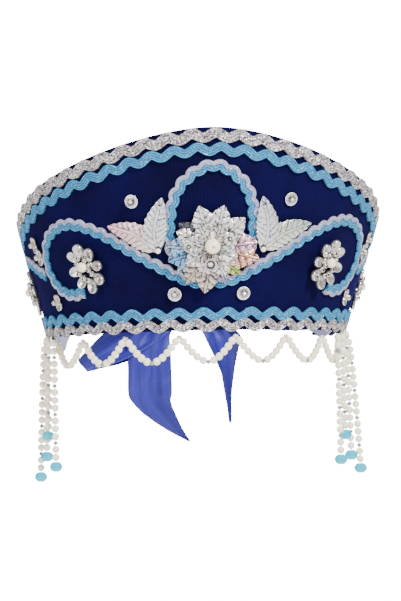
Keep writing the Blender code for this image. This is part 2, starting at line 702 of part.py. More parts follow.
def add_loops(satin):
    knot = knot_centre()
    for side, word, droop in ((-1, "left", LEFT_LOOP_DROOP), (1, "right", RIGHT_LOOP_DROOP)):
        out = Vector((side * math.cos(droop), 0.0, -math.sin(droop)))
        across = Vector((side * math.sin(droop), 0.0, math.cos(droop)))
        start = 0.0
        for row in (BOW_LOOP[0], BOW_LOOP[-1]):
            for end in (-1, 0, 1):
                # the loop starts where both its ends clear the knot along their whole edge
                edge = end * row["width"] * RIBBON_WIDTH / 2
                up = edge * math.cos(droop) - KNOT_WIDTH / 2 * math.sin(droop)
                clear = knot_half_width(up, row["back"] * RIBBON_WIDTH) + RIBBON_WALL / 2 + GAP
                start = max(start, (clear - edge * math.sin(droop)) / math.cos(droop))
        places = []
        for row in BOW_LOOP:
            reach = start + row["out"] * (LOOP_REACH - start)
            places.append(knot + out * reach + Vector((0, row["back"] * RIBBON_WIDTH, 0)))
        sides = [across * row["width"] * RIBBON_WIDTH / 2 for row in BOW_LOOP]
        normals = []
        for index in range(len(places)):
            run = places[min(index + 1, len(places) - 1)] - places[max(index - 1, 0)]
            normals.append(run.cross(across))
        add_ribbon(f"bow_loop_{word}", places, sides, normals, satin)


def main():
    clear_objects()
    velvet = make_material("navy_velvet", (0.006, 0.010, 0.090), 0.9)
    lining = make_material("lavender_lining", (0.42, 0.42, 0.60), 0.7)
    silver_braid = make_material("silver_braid", (0.50, 0.48, 0.50), 0.6)
    blue_braid = make_material("light_blue_braid", (0.10, 0.45, 0.72), 0.6)
    sequin = make_material("silver_sequin", (0.85, 0.85, 0.85), 0.25, 0.8)
    pearl = make_material("ivory_pearl", (0.90, 0.87, 0.78), 0.25)
    aqua = make_material("aqua_glass", (0.25, 0.80, 0.85), 0.1)
    satin = make_material("blue_satin", (0.07, 0.11, 0.50), 0.4)
    add_band(velvet, lining)
    add_top_braids(silver_braid, blue_braid)
    add_rim_braids(silver_braid, blue_braid)
    add_curve_braids(blue_braid)
    add_leaves(sequin)
    add_sequins(sequin)
    add_bunches(sequin)
    add_flower(sequin, pearl)
    add_fringe(pearl)
    add_pendants(pearl, aqua)
    add_ties(satin)
    add_knot(satin)
    add_tails(satin)
    add_loops(satin)


main()
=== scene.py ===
import math
import random

import bmesh
import bpy
from mathutils import Matrix, Vector, noise


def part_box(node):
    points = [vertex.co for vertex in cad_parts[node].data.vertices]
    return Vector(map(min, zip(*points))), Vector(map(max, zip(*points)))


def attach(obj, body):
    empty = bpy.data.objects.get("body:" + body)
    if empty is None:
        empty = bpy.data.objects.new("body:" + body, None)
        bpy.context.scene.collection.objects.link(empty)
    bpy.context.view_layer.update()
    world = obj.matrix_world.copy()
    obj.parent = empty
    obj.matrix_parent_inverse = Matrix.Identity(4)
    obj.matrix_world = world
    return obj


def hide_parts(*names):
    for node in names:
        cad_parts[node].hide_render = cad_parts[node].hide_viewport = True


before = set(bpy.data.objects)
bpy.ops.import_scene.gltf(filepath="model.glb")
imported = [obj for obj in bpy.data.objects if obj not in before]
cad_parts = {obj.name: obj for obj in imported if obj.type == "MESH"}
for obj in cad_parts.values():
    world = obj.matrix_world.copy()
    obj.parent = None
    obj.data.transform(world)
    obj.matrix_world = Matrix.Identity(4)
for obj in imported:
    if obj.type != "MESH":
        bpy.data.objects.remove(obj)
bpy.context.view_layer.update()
print("frame loaded:", len(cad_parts), "nodes")


def addObject(name, data):
    thing = bpy.data.objects.new(name, data)
    bpy.context.scene.collection.objects.link(thing)
    return thing


# Camera: where the photograph was taken from, over its 601 pixel long side

camera = {
    "azimuth": -4.5, "elevation": -2.75, "roll": 1.3, "distance": 1.4,
    "aim": (0.003, 0.0, 0.0206), "lens": 144.83, "sensor": 36.0,
}


def placeCamera():
    turn = math.radians(camera["azimuth"])
    rise = math.radians(camera["elevation"])
    roll = math.radians(camera["roll"])
    back = Vector((math.sin(turn) * math.cos(rise), -math.cos(turn) * math.cos(rise), math.sin(rise)))
    level = Vector((math.cos(turn), math.sin(turn), 0.0))
    upright = back.cross(level)
    right = level * math.cos(roll) - upright * math.sin(roll)
    up = upright * math.cos(roll) + level * math.sin(roll)
    data = bpy.data.cameras.new("photoCamera")
    data.lens = camera["lens"]
    data.sensor_width = camera["sensor"]
    data.clip_start = 0.05
    data.clip_end = 60.0
    eye = addObject("photoCamera", data)
    place = Vector(camera["aim"]) + back * camera["distance"]
    eye.matrix_world = Matrix.Translation(place) @ Matrix((right, up, back)).transposed().to_4x4()
    bpy.context.scene.camera = eye


placeCamera()
print("camera placed")


# Node trees: a socket that can be used in sums, and a board that makes any node

class Wire:
    def __init__(self, board, socket):
        self.board = board
        self.socket = socket

    def out(self, name):
        return Wire(self.board, self.socket.node.outputs[name])

    def sums(self, operation, first, second=None):
        values = {0: first} if second is None else {0: first, 1: second}
        return self.board.make("ShaderNodeMath", {"operation": operation}, values)

    def __add__(self, other):
        return self.sums("ADD", self, other)

    def __radd__(self, other):
        return self.sums("ADD", other, self)

    def __sub__(self, other):
        return self.sums("SUBTRACT", self, other)

    def __rsub__(self, other):
        return self.sums("SUBTRACT", other, self)

    def __mul__(self, other):
        return self.sums("MULTIPLY", self, other)

    def __rmul__(self, other):
        return self.sums("MULTIPLY", other, self)

    def __gt__(self, other):
        return self.sums("GREATER_THAN", self, other)

    def __abs__(self):
        return self.sums("ABSOLUTE", self)

    def sine(self):
        return self.sums("SINE", self)

    def least(self, other):
        return self.sums("MINIMUM", self, other)

    def most(self, other):
        return self.sums("MAXIMUM", self, other)


class Board:
    def __init__(self, tree):
        self.tree = tree

    def make(self, kind, settings=None, values=None):
        node = self.tree.nodes.new(kind)
        for name, value in (settings or {}).items():
            if name == "stops":
                self.setStops(node.color_ramp, value)
            else:
                setattr(node, name, value)
        for key, value in (values or {}).items():
            socket = self.find(node.inputs, key)
            if isinstance(value, Wire):
                self.tree.links.new(value.socket, socket)
            else:
                socket.default_value = value
        shown = [socket for socket in node.outputs if socket.enabled]
        return Wire(self, shown[0] if shown else node.inputs[0])

    def find(self, sockets, key):
        if isinstance(key, int):
            return sockets[key]
        return next(socket for socket in sockets if socket.name == key and socket.enabled)

    def setStops(self, ramp, stops):
        while len(ramp.elements) < len(stops):
            ramp.elements.new(1.0)
        for element, (place, colour) in zip(ramp.elements, stops):
            element.position = place
            element.color = (*colour, 1.0)

    def mix(self, share, first, second, blend="MIX"):
        node = self.tree.nodes.new("ShaderNodeMix")
        node.data_type = "RGBA"
        node.blend_type = blend
        for index, value in ((0, share), (6, first), (7, second)):
            if isinstance(value, Wire):
                self.tree.links.new(value.socket, node.inputs[index])
            elif index == 0:
                node.inputs[0].default_value = value
            else:
                node.inputs[index].default_value = (*value, 1.0)
        return Wire(self, node.outputs[2])


def paint(red, green, blue):                    # a screen colour, 0 to 255, as the shader's own
    return tuple((value / 255 / 12.92) if value < 10.3 else ((value / 255 + 0.055) / 1.055) ** 2.4
                 for value in (red, green, blue))


def newMaterial(name, constants, feeds):
    material = bpy.data.materials.new(name)
    material.use_nodes = True
    material.node_tree.nodes.clear()
    board = Board(material.node_tree)
    shader = material.node_tree.nodes.new("ShaderNodeBsdfPrincipled")
    output = material.node_tree.nodes.new("ShaderNodeOutputMaterial")
    material.node_tree.links.new(shader.outputs[0], output.inputs[0])
    for key, value in constants.items():
        shader.inputs[key].default_value = value
    for key, wire in feeds(board).items():
        material.node_tree.links.new(wire.socket, shader.inputs[key])
    return material


def bumpOf(board, height, distance, strength=1.0):
    return board.make("ShaderNodeBump", None, {"Strength": strength, "Distance": distance, "Height": height})


def spotNoise(board, vector, scale, detail=3.0):
    return board.make("ShaderNodeTexNoise", None, {"Vector": vector, "Scale": scale, "Detail": detail})


def clothPlace(board):                          # metres along and across a cloth, from its UV map
    uv = board.make("ShaderNodeTexCoord").out("UV")
    split = board.make("ShaderNodeSeparateXYZ", None, {0: uv})
    return uv, split.out("X"), split.out("Y")


# Finishes

velvetFinish = {
    "dark": paint(6, 3, 36), "light": paint(14, 9, 70), "rib": 0.0016,
    "pile": 1500.0, "patch": 26.0, "bump": 0.00018,
}


def makeVelvet():
    def feeds(board):
        along = clothPlace(board)[1]
        solid = board.make("ShaderNodeTexCoord").out("Object")
        patch = spotNoise(board, solid, velvetFinish["patch"], 4.0)
        pile = spotNoise(board, solid, velvetFinish["pile"], 2.0)
        rib = (along * (2 * math.pi / velvetFinish["rib"]) + patch * 3.0).sine() * 0.5 + 0.5
        shade = (patch - 0.35) * 1.4 + (rib - 0.5) * 0.14 + (pile - 0.5) * 0.9
        colour = board.mix(shade.most(0.0).least(1.0), velvetFinish["dark"], velvetFinish["light"])
        height = rib * 0.5 + pile
        return {"Base Color": colour, "Normal": bumpOf(board, height, velvetFinish["bump"])}
    return newMaterial("navyVelvet", {
        "Roughness": 0.95, "Specular IOR Level": 0.06, "Sheen Weight": 0.12,
        "Sheen Roughness": 0.4, "Sheen Tint": (*paint(44, 34, 190), 1.0)}, feeds)


liningFinish = {
    "dark": paint(152, 152, 200), "light": paint(198, 198, 232), "threadPitch": 0.0007,
    "patch": 60.0, "bump": 0.00008,
}


def makeLining():
    def feeds(board):
        uv, along, up = clothPlace(board)
        turns = 2 * math.pi / liningFinish["threadPitch"]
        weave = (along * turns).sine() * (up * turns).sine()
        patch = spotNoise(board, uv, liningFinish["patch"])
        colour = board.mix(patch + weave * 0.12, liningFinish["dark"], liningFinish["light"])
        return {"Base Color": colour, "Normal": bumpOf(board, weave, liningFinish["bump"])}
    return newMaterial("lavenderLining", {"Roughness": 0.75, "Sheen Weight": 0.2}, feeds)


def makeThread(name, look):
    # strands run along the braid, with painted shade in the grooves between them; flecks of film glint
    # between them
    def feeds(board):
        along = board.make("ShaderNodeAttribute", {"attribute_name": "along"}).out("Fac")
        across = board.make("ShaderNodeAttribute", {"attribute_name": "across"}).out("Fac")
        solid = board.make("ShaderNodeTexCoord").out("Object")
        grain = board.make("ShaderNodeTexVoronoi", None, {"Vector": solid, "Scale": look["grain"]})
        fleck = board.make("ShaderNodeSeparateColor", None, {0: grain.out("Color")})
        twist = (along * (2 * math.pi / 0.0011) + across * 9.0).sine() * 0.5 + 0.5
        strand = abs(((across + 1.0) * (look["strands"] * math.pi / 2)).sine())
        run = board.make("ShaderNodeCombineXYZ", None, {0: along * 260.0, 1: across * 5.0})
        streak = spotNoise(board, run, 1.0, 2.0)
        # painted shade: the colour darkens in the grooves between the strands
        shade = (strand * look["grooveShade"] + (streak - 0.5) * look["streakShare"]
                 + (fleck.out("Red") - 0.5) * look["fleckShare"] + twist * 0.1 + 0.1)
        body = board.mix(shade.most(0.0).least(1.0), look["dark"], look["main"])
        body = board.mix((fleck.out("Blue") > 0.62) * look["castShare"], body, look["cast"])
        glint = (fleck.out("Green") > look["sparkAbove"]) * 0.85
        colour = board.mix(glint, body, look["spark"])
        rough = 0.6 - glint * 0.3
        height = twist * 0.5 + fleck.out("Blue") * 0.5 + strand
        return {"Base Color": colour, "Roughness": rough, "Metallic": glint * 0.5 + look["metal"],
                "Normal": bumpOf(board, height, 0.00025)}
    return newMaterial(name, {"Specular IOR Level": 0.5}, feeds)


def makeFoil(name, rough):                      # film with its tint and its embossing kept on the piece, with painted shade and painted reflections
    def feeds(board):
        tint = board.make("ShaderNodeAttribute", {"attribute_name": "tint"}).out("Color")
        relief = board.make("ShaderNodeAttribute", {"attribute_name": "relief"}).out("Fac")
        solid = board.make("ShaderNodeTexCoord").out("Object")
        cloud = spotNoise(board, solid, 330.0, 3.0)
        rainbow = board.make("ShaderNodeValToRGB", {"stops": (
            (0.34, paint(205, 224, 244)), (0.46, paint(250, 248, 244)), (0.55, paint(244, 222, 232)),
            (0.63, paint(230, 242, 226)), (0.72, paint(190, 184, 190)))}, {0: cloud})
        film = board.mix(0.6, tint, rainbow, "MULTIPLY")
        speck = spotNoise(board, solid, 1250.0, 1.0)
        # painted shade and reflection: the colour goes toward the dark painted shade in the vein grooves, at
        # the roots and in the dish middles, and the broad cloud noise paints reflections of a crumpled film
        bright = (relief * 1.7 + (speck - 0.5) * 1.3 + (cloud - 0.5) * 1.5 - 0.40).most(0.0).least(1.0)
        hollow = board.mix(0.97, film, paint(78, 70, 64), "MULTIPLY")
        colour = board.mix(bright, hollow, film)
        return {"Base Color": colour, "Roughness": speck * 0.4 + (rough - 0.15),
                "Normal": bumpOf(board, speck, 0.0002)}
    return newMaterial(name, {"Metallic": 0.7, "Specular IOR Level": 0.6}, feeds)


def makePearl():
    def feeds(board):
        solid = board.make("ShaderNodeTexCoord").out("Object")
        cloud = spotNoise(board, solid, 190.0, 2.0)
        colour = board.mix(cloud, paint(255, 240, 200), paint(255, 250, 230))
        return {"Base Color": colour, "Roughness": cloud * 0.12 + 0.2}
    # a faint painted glow: emission that brightens the pearls, which are no lamp
    return newMaterial("ivoryPearl", {
        "Coat Weight": 0.7, "Coat Roughness": 0.12, "Specular IOR Level": 0.55,
        "Emission Color": (*paint(255, 244, 214), 1.0), "Emission Strength": 0.14}, feeds)


def makeBead(name, low, high, metal, rough):
    def feeds(board):
        solid = board.make("ShaderNodeTexCoord").out("Object")
        cloud = spotNoise(board, solid, 420.0, 2.0)
        return {"Base Color": board.mix(cloud, low, high), "Roughness": cloud * 0.1 + rough}
    return newMaterial(name, {"Metallic": metal, "Coat Weight": 0.5, "Coat Roughness": 0.05}, feeds)


def makeAqua():
    def feeds(board):
        solid = board.make("ShaderNodeTexCoord").out("Object")
        cloud = spotNoise(board, solid, 500.0, 1.0)
        return {"Base Color": board.mix(cloud, paint(0, 138, 174), paint(16, 204, 224))}
    # the cyan emission is a painted glow that brightens the glass, which is no lamp
    return newMaterial("aquaGlass", {
        "Roughness": 0.04, "Transmission Weight": 0.2, "IOR": 1.5, "Coat Weight": 0.3,
        "Emission Color": (*paint(0, 204, 228), 1.0), "Emission Strength": 0.36}, feeds)


satinFinish = {
    "dark": paint(26, 22, 108), "light": paint(47, 47, 160), "warpPitch": 0.0004, "weftPitch": 0.0005,
    "streakAlong": 22.0, "streakAcross": 260.0, "bump": 0.00003,
}


def makeSatin():
    def feeds(board):
        along, across = clothPlace(board)[1:]
        run = board.make("ShaderNodeCombineXYZ", None, {
            0: along * satinFinish["streakAlong"], 1: across * satinFinish["streakAcross"]})
        streak = spotNoise(board, run, 1.0, 2.0)
        weave = ((across * (2 * math.pi / satinFinish["warpPitch"])).sine() * 0.5
                 + (along * (2 * math.pi / satinFinish["weftPitch"])).sine() * 0.3)
        colour = board.mix((streak - 0.25) * 1.7, satinFinish["dark"], satinFinish["light"])
        return {"Base Color": colour, "Roughness": streak * 0.25 + 0.32,
                "Normal": bumpOf(board, weave + streak * 6.0, satinFinish["bump"])}
    return newMaterial("blueSatin", {
        "Specular IOR Level": 0.45, "Sheen Weight": 0.15, "Sheen Roughness": 0.3,
        "Anisotropic": 0.5, "Sheen Tint": (*paint(90, 110, 230), 1.0)}, feeds)


threadLooks = {
    "silver": {
        "dark": paint(44, 40, 48), "main": paint(192, 186, 190), "cast": paint(196, 172, 180),
        "spark": paint(255, 252, 248), "metal": 0.2, "strands": 4.0, "grooveShade": 0.35,
        "streakShare": 0.5, "fleckShare": 0.9, "castShare": 0.35, "sparkAbove": 0.80, "grain": 1350.0},
    "lightBlue": {
        "dark": paint(4, 64, 116), "main": paint(56, 150, 194), "cast": paint(34, 124, 182),
        "spark": paint(160, 218, 240), "metal": 0.08, "strands": 4.0, "grooveShade": 0.62,
        "streakShare": 1.3, "fleckShare": 0.6, "castShare": 0.3, "sparkAbove": 0.95, "grain": 2300.0},
    "lilac": {
        "dark": paint(112, 112, 140), "main": paint(198, 196, 216), "cast": paint(168, 162, 200),
        "spark": paint(250, 248, 255), "metal": 0.15, "strands": 6.0, "grooveShade": 0.5,
        "streakShare": 0.8, "fleckShare": 0.5, "castShare": 0.4, "sparkAbove": 0.92, "grain": 1900.0},
}

velvet = makeVelvet()
lavenderCloth = makeLining()
silverThread = makeThread("silverThread", threadLooks["silver"])
blueThread = makeThread("lightBlueThread", threadLooks["lightBlue"])
lilacThread = makeThread("lilacSilverThread", threadLooks["lilac"])
foil = makeFoil("sequinFoil", 0.24)
pearl = makePearl()
crystal = makeBead("smokyCrystal", paint(70, 70, 78), paint(206, 208, 214), 0.45, 0.06)
clearBead = makeBead("clearBead", paint(222, 220, 214), paint(252, 252, 248), 0.15, 0.08)
silverBead = makeBead("silverBead", paint(140, 132, 122), paint(236, 230, 222), 0.85, 0.12)
silverDrop = makeBead("silverDrop", paint(112, 104, 96), paint(252, 248, 242), 0.8, 0.14)
# a flat dark colour for discs of painted shade, in holes and at the leaves' roots
holeShade = makeBead("paintedHoleShade", paint(12, 11, 14), paint(34, 30, 32), 0.0, 0.6)
aqua = makeAqua()
satin = makeSatin()
print("finishes made")


# The flared wall, in the part's own frame: angles go round from the middle of the front, toward +X

band = {
    "rimRadius": 0.0848, "frontHeight": 0.1075, "flare": math.radians(15.8),
    "lean": math.radians(2.1), "sideDrop": 0.0020, "halfWrap": 120.0,
    "velvetWall": 0.0026, "liningWall": 0.0010, "liningInset": 0.0015, "gap": 0.0003,
    "turnStep": 1.0, "faceSteps": 14, "roundSteps": 6,
    # where the loose lining hangs below the rim: middle and reach in degrees, droop
    "liningSag": ((-107.0, 13.0, 0.0090), (108.0, 11.0, 0.0040)),
    "topEdge": ((0, 1.000), (11, 0.981), (24, 0.932), (38, 0.866), (52, 0.796), (62, 0.746),
                (71, 0.690), (80, 0.642), (90, 0.587), (105, 0.500), (115, 0.425), (120, 0.370)),
}


def smoothValue(rows, at):
    last = len(rows) - 1
    at = min(max(at, rows[0][0]), rows[last][0])
    first = 0
    while first < last - 1 and rows[first + 1][0] < at:
        first += 1

    def slope(index):
        low = rows[max(index - 1, 0)]
        high = rows[min(index + 1, last)]
        return (high[1] - low[1]) / (high[0] - low[0])

    start, end = rows[first], rows[first + 1]
    span = end[0] - start[0]
    share = (at - start[0]) / span
    lead = 0.0 if first == 0 and start[0] == 0 else slope(first)
    square, cube = share ** 2, share ** 3
    return ((2 * cube - 3 * square + 1) * start[1] + (cube - 2 * square + share) * span * lead
            + (3 * square - 2 * cube) * end[1] + (cube - square) * span * slope(first + 1))


def onWall(angle, height, off):
    turn = math.radians(angle)
    radius = band["rimRadius"] + height * math.tan(band["flare"]) + off * math.cos(band["flare"])
    level = height - off * math.sin(band["flare"])
    return Vector((radius * math.sin(turn) + level * math.tan(band["lean"]), -radius * math.cos(turn), level))


def wallNormal(angle):
    turn = math.radians(angle)
    flare = band["flare"]
    return Vector((math.cos(flare) * math.sin(turn), -math.cos(flare) * math.cos(turn), -math.sin(flare)))


def wallRadius(height):
    return band["rimRadius"] + height * math.tan(band["flare"])


def beside(angle, height, across, up):
    return angle + math.degrees(across / wallRadius(height)), height + up


def topEdge(angle):
    share = smoothValue(band["topEdge"], abs(angle))
    return share * band["frontHeight"] - band["sideDrop"] * math.sin(math.radians(angle))


def smoothRoute(points, step):
    padded = [points[0] * 2 - points[1]] + points + [points[-1] * 2 - points[-2]]
    dense = []
    for index in range(1, len(padded) - 2):
        before, start, end, after = padded[index - 1:index + 3]
        for part in range(24):
            t = part / 24
            dense.append(0.5 * (2 * start + (end - before) * t
                                + (2 * before - 5 * start + 4 * end - after) * t ** 2
                                + (3 * start - before - 3 * end + after) * t ** 3))
    dense.append(points[-1])
    lengths = [0.0]
    for before, after in zip(dense, dense[1:]):
        lengths.append(lengths[-1] + (after - before).length)
    count = max(2, round(lengths[-1] / step))
    route = []
    place = 0
    for index in range(count + 1):
        target = lengths[-1] * index / count
        while place < len(lengths) - 2 and lengths[place + 1] < target:
            place += 1
        span = lengths[place + 1] - lengths[place]
        route.append(dense[place].lerp(dense[place + 1], (target - lengths[place]) / span))
    return route


arcScale = math.radians(1) * wallRadius(band["frontHeight"] / 2)


def wallRoute(rows, step, side=1):
    points = [Vector((side * angle * arcScale, share * band["frontHeight"])) for angle, share in rows]
    return smoothRoute(points, step)


def mirrored(rows):
    return tuple((-angle, share) for angle, share in reversed(rows[1:])) + tuple(rows)


# Making and finishing a piece

def addMesh(name, points, faces, materials, smooth=True):
    mesh = bpy.data.meshes.new(name)
    mesh.from_pydata([tuple(point) for point in points], [], faces)
    for material in materials:
        mesh.materials.append(material)
    if smooth:
        mesh.shade_smooth()
    return addObject(name, mesh)


def turnOutward(mesh):                          # a closed mesh with a negative volume is inside out
    form = bmesh.new()
    form.from_mesh(mesh)
    if form.calc_volume(signed=True) < 0:
        bmesh.ops.reverse_faces(form, faces=form.faces)
        form.to_mesh(mesh)
    form.free()


def closedMesh(name, points, faces, material, smooth=True):
    piece = addMesh(name, points, faces, [material], smooth)
    turnOutward(piece.data)
    return piece


def ringFaces(rings, size):                     # rings of as many points each, joined and capped at both ends
    faces = []
    for ring in range(rings - 1):
        for index in range(size):
            after = (index + 1) % size
            faces.append((ring * size + index, ring * size + after,
                          (ring + 1) * size + after, (ring + 1) * size + index))
    faces.append(tuple(reversed(range(size))))
    faces.append(tuple((rings - 1) * size + index for index in range(size)))
    return faces


def layCloth(piece, places):                    # metres along and across, one pair a point, as a UV map
    layer = piece.data.uv_layers.new(name="cloth")
    for loop in piece.data.loops:
        layer.data[loop.index].uv = places[loop.vertex_index]


def plainMesh(piece):                           # replace live modifiers by the mesh that they make
    graph = bpy.context.evaluated_depsgraph_get()
    made = bpy.data.meshes.new_from_object(piece.evaluated_get(graph), depsgraph=graph)
    piece.modifiers.clear()
    piece.data = made
    return piece


def storeValues(mesh, name, kind, values):
    attribute = mesh.attributes.new(name, kind, "POINT")
    for item, value in zip(attribute.data, values):
        if kind == "FLOAT_COLOR":
            item.color = value
        elif kind == "FLOAT_VECTOR":
            item.vector = value
        else:
            item.value = value


def finish(piece, slot, *replaced):
    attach(piece, "root")
    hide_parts(*replaced)
    return piece


def bandShell(name, low, high, halfWrap, outer, wall, material):
    count = round(2 * halfWrap / band["turnStep"])
    bulge = wall / 2
    rings = []
    for index in range(count + 1):
        angle = halfWrap * (2 * index / count - 1)
        toEnd = math.radians(halfWrap - abs(angle)) * band["rimRadius"]
        swell = math.sqrt(max(1 - (1 - min(toEnd / bulge, 1.0)) ** 2, 0.04))
        radius = bulge * swell
        bottom, top = low(angle) + bulge - radius, high(angle) - bulge + radius
        profile = []
        for step in range(band["faceSteps"] + 1):
            share = step / band["faceSteps"]
            profile.append((outer - bulge + radius, bottom + radius + (top - bottom - 2 * radius) * share))
        for step in range(1, band["roundSteps"]):
            turn = math.pi * step / band["roundSteps"]
            profile.append((outer - bulge + radius * math.cos(turn), top - radius + radius * math.sin(turn)))
        for step in range(band["faceSteps"] + 1):
            share = 1 - step / band["faceSteps"]
            profile.append((outer - bulge - radius, bottom + radius + (top - bottom - 2 * radius) * share))
        for step in range(1, band["roundSteps"]):
            turn = math.pi + math.pi * step / band["roundSteps"]
            profile.append((outer - bulge + radius * math.cos(turn),
                            bottom + radius + radius * math.sin(turn)))
        rings.append((angle, profile))
    points = [onWall(angle, height, off) for angle, profile in rings for off, height in profile]
    places = [(math.radians(angle) * band["rimRadius"], height) for angle, profile in rings
              for off, height in profile]
    piece = closedMesh(name, points, ringFaces(len(rings), len(rings[0][1])), material)
    layCloth(piece, places)
    return piece


def liningLow(angle):
    for middle, reach, droop in band["liningSag"]:
        if abs(angle - middle) < reach:
            return band["liningInset"] - droop * math.cos((angle - middle) / reach * math.pi / 2) ** 2
    return band["liningInset"]


panel = bandShell("velvetPanel", lambda angle: 0.0, topEdge, band["halfWrap"], 0.0,
                  band["velvetWall"], velvet)
finish(panel, "navy_velvet", "crown_panel")
liningReach = band["halfWrap"] - math.degrees(band["liningInset"] / band["rimRadius"])
liningPiece = bandShell("liningCloth", liningLow, lambda angle: topEdge(angle) - band["liningInset"],
                        liningReach, -band["velvetWall"] - band["gap"], band["liningWall"], lavenderCloth)
finish(liningPiece, "lavender_lining", "lining")
print("band and lining made")


# Braids, swept along their routes by one geometry tree

def newTree(name, inputs):
    tree = bpy.data.node_groups.new(name, "GeometryNodeTree")
    tree.interface.new_socket("Geometry", in_out="INPUT", socket_type="NodeSocketGeometry")
    for label, kind in inputs:
        tree.interface.new_socket(label, in_out="INPUT", socket_type=kind)
    tree.interface.new_socket("Geometry", in_out="OUTPUT", socket_type="NodeSocketGeometry")
    board = Board(tree)
    start = tree.nodes.new("NodeGroupInput")
    given = {socket.name: Wire(board, socket) for socket in start.outputs if socket.name}
    return tree, board, given


def closeTree(tree, board, geometry, materials):    # materials: (material, selection or None)
    joined = board.make("GeometryNodeRealizeInstances", None, {"Geometry": geometry})
    for material, selection in materials:
        values = {"Geometry": joined, "Material": material}
        if selection is not None:
            values["Selection"] = selection
        joined = board.make("GeometryNodeSetMaterial", None, values)
    end = tree.nodes.new("NodeGroupOutput")
    tree.links.new(joined.socket, end.inputs[0])
    return tree


def readAttribute(board, name, kind):
    return board.make("GeometryNodeInputNamedAttribute", {"data_type": kind}, {"Name": name})


def runTree(name, source, tree, values):
    modifier = source.modifiers.new("form", "NODES")
    modifier.node_group = tree
    for item in tree.interface.items_tree:
        if item.in_out == "INPUT" and item.name in values:
            modifier[item.identifier] = values[item.name]
    plainMesh(source)
    source.name = name
    source.data.name = name
    return source


braid = {
    "profilePoints": 28, "strands": 4.0, "base": 0.55, "step": 0.0006, "wall": 0.0013,
    "wave": 0.0132, "rimSilverWave": 0.01362, "curveWave": 0.0072, "curveWidth": 0.0058, "curveSwing": 0.0008,
    "silverFrom": 0.22,                         # of the two-tone braid's half width, on its outer side
    "topStart": 0.0071, "rimStart": -0.0028,
    # stroke, swing, place from the edge, crest in waves from the start
    "topSilver": (0.0058, 0.0012, -0.0040, -0.50), "topBlue": (0.0050, 0.0014, -0.0112, -0.25),
    "rimBlue": (0.0047, 0.0016, 0.0090, 0.0), "rimSilver": (0.0046, 0.0016, 0.0032, -0.33),
}


def braidTree(name, materials):
    tree, board, given = newTree(name, (("Width", "NodeSocketFloat"), ("Wall", "NodeSocketFloat"),
                                        ("Strands", "NodeSocketFloat")))
    line = board.make("GeometryNodeMeshToCurve", None, {"Mesh": given["Geometry"]})
    line = board.make("GeometryNodeSetCurveNormal", {"mode": "FREE"},
                      {"Curve": line, "Normal": readAttribute(board, "lay", "FLOAT_VECTOR")})
    ring = board.make("GeometryNodeCurvePrimitiveCircle", None,
                      {"Resolution": braid["profilePoints"], "Radius": 1.0})
    place = board.make("ShaderNodeSeparateXYZ", None, {0: board.make("GeometryNodeInputPosition")})
    across, rise = place.out("X"), place.out("Y")
    strand = abs((across * given["Strands"] * (math.pi / 2) + given["Strands"] * (math.pi / 2)).sine())
    height = ((rise * 2.5).least(1.0).most(0.0) * (strand * (1 - braid["base"]) + braid["base"])
              * given["Wall"])
    ring = board.make("GeometryNodeStoreNamedAttribute", {"data_type": "FLOAT", "domain": "POINT"},
                      {"Geometry": ring, "Name": "across", "Value": across})
    shape = board.make("ShaderNodeCombineXYZ", None, {0: height, 1: across * given["Width"] * 0.5})
    ring = board.make("GeometryNodeSetPosition", None, {"Geometry": ring, "Position": shape})
    swept = board.make("GeometryNodeCurveToMesh", None,
                       {"Curve": line, "Profile Curve": ring, "Fill Caps": True})
    selections = []
    for material, above in materials:
        chosen = None if above is None else readAttribute(board, "across", "FLOAT") > above
        selections.append((material, chosen))
    return closeTree(tree, board, swept, selections)


def addBraid(name, places, width, tree, side):    # places: (angle, height, distance along)
    mesh = bpy.data.meshes.new(name)
    points = [onWall(angle, height, band["gap"]) for angle, height, along in places]
    mesh.from_pydata(points, [(index, index + 1) for index in range(len(points) - 1)], [])
    storeValues(mesh, "lay", "FLOAT_VECTOR", [wallNormal(angle) for angle, height, along in places])
    storeValues(mesh, "along", "FLOAT", [along for angle, height, along in places])
    piece = runTree(name, addObject(name + "Path", mesh), tree,
                    {"Width": width * side, "Wall": braid["wall"], "Strands": braid["strands"]})
    piece.data.shade_smooth()
    turnOutward(piece.data)
    return piece


def edgePlaces(edge, stroke, start, swing, wave):
    reach = band["halfWrap"] - 0.6
    places = []
    for way in (-1, 1):
        angle, gone, target = 0.0, 0.0, 0.0
        here = onWall(0.0, edge(0.0), 0.0)
        run = []
        while abs(angle) < reach:
            if gone >= target:
                rise = swing * math.cos(2 * math.pi * (way * gone - start) / wave)
                run.append((angle, edge(angle) + stroke + rise, way * gone))
                target += braid["step"]
            angle += way * 0.05
            there = onWall(angle, edge(angle), 0.0)
            gone += (there - here).length
            here = there
        places.append(run)
    return list(reversed(places[0][1:])) + places[1]


def routePlaces(route, wave, swing):
    places = []
    along = 0.0
    for index, point in enumerate(route):
        before, after = route[max(index - 1, 0)], route[min(index + 1, len(route) - 1)]
        if index:
            along += (point - before).length
        run = (after - before).normalized()
        swung = point + Vector((-run.y, run.x)) * swing * math.cos(2 * math.pi * along / wave)
        places.append((swung.x / arcScale, swung.y, along))
    return places


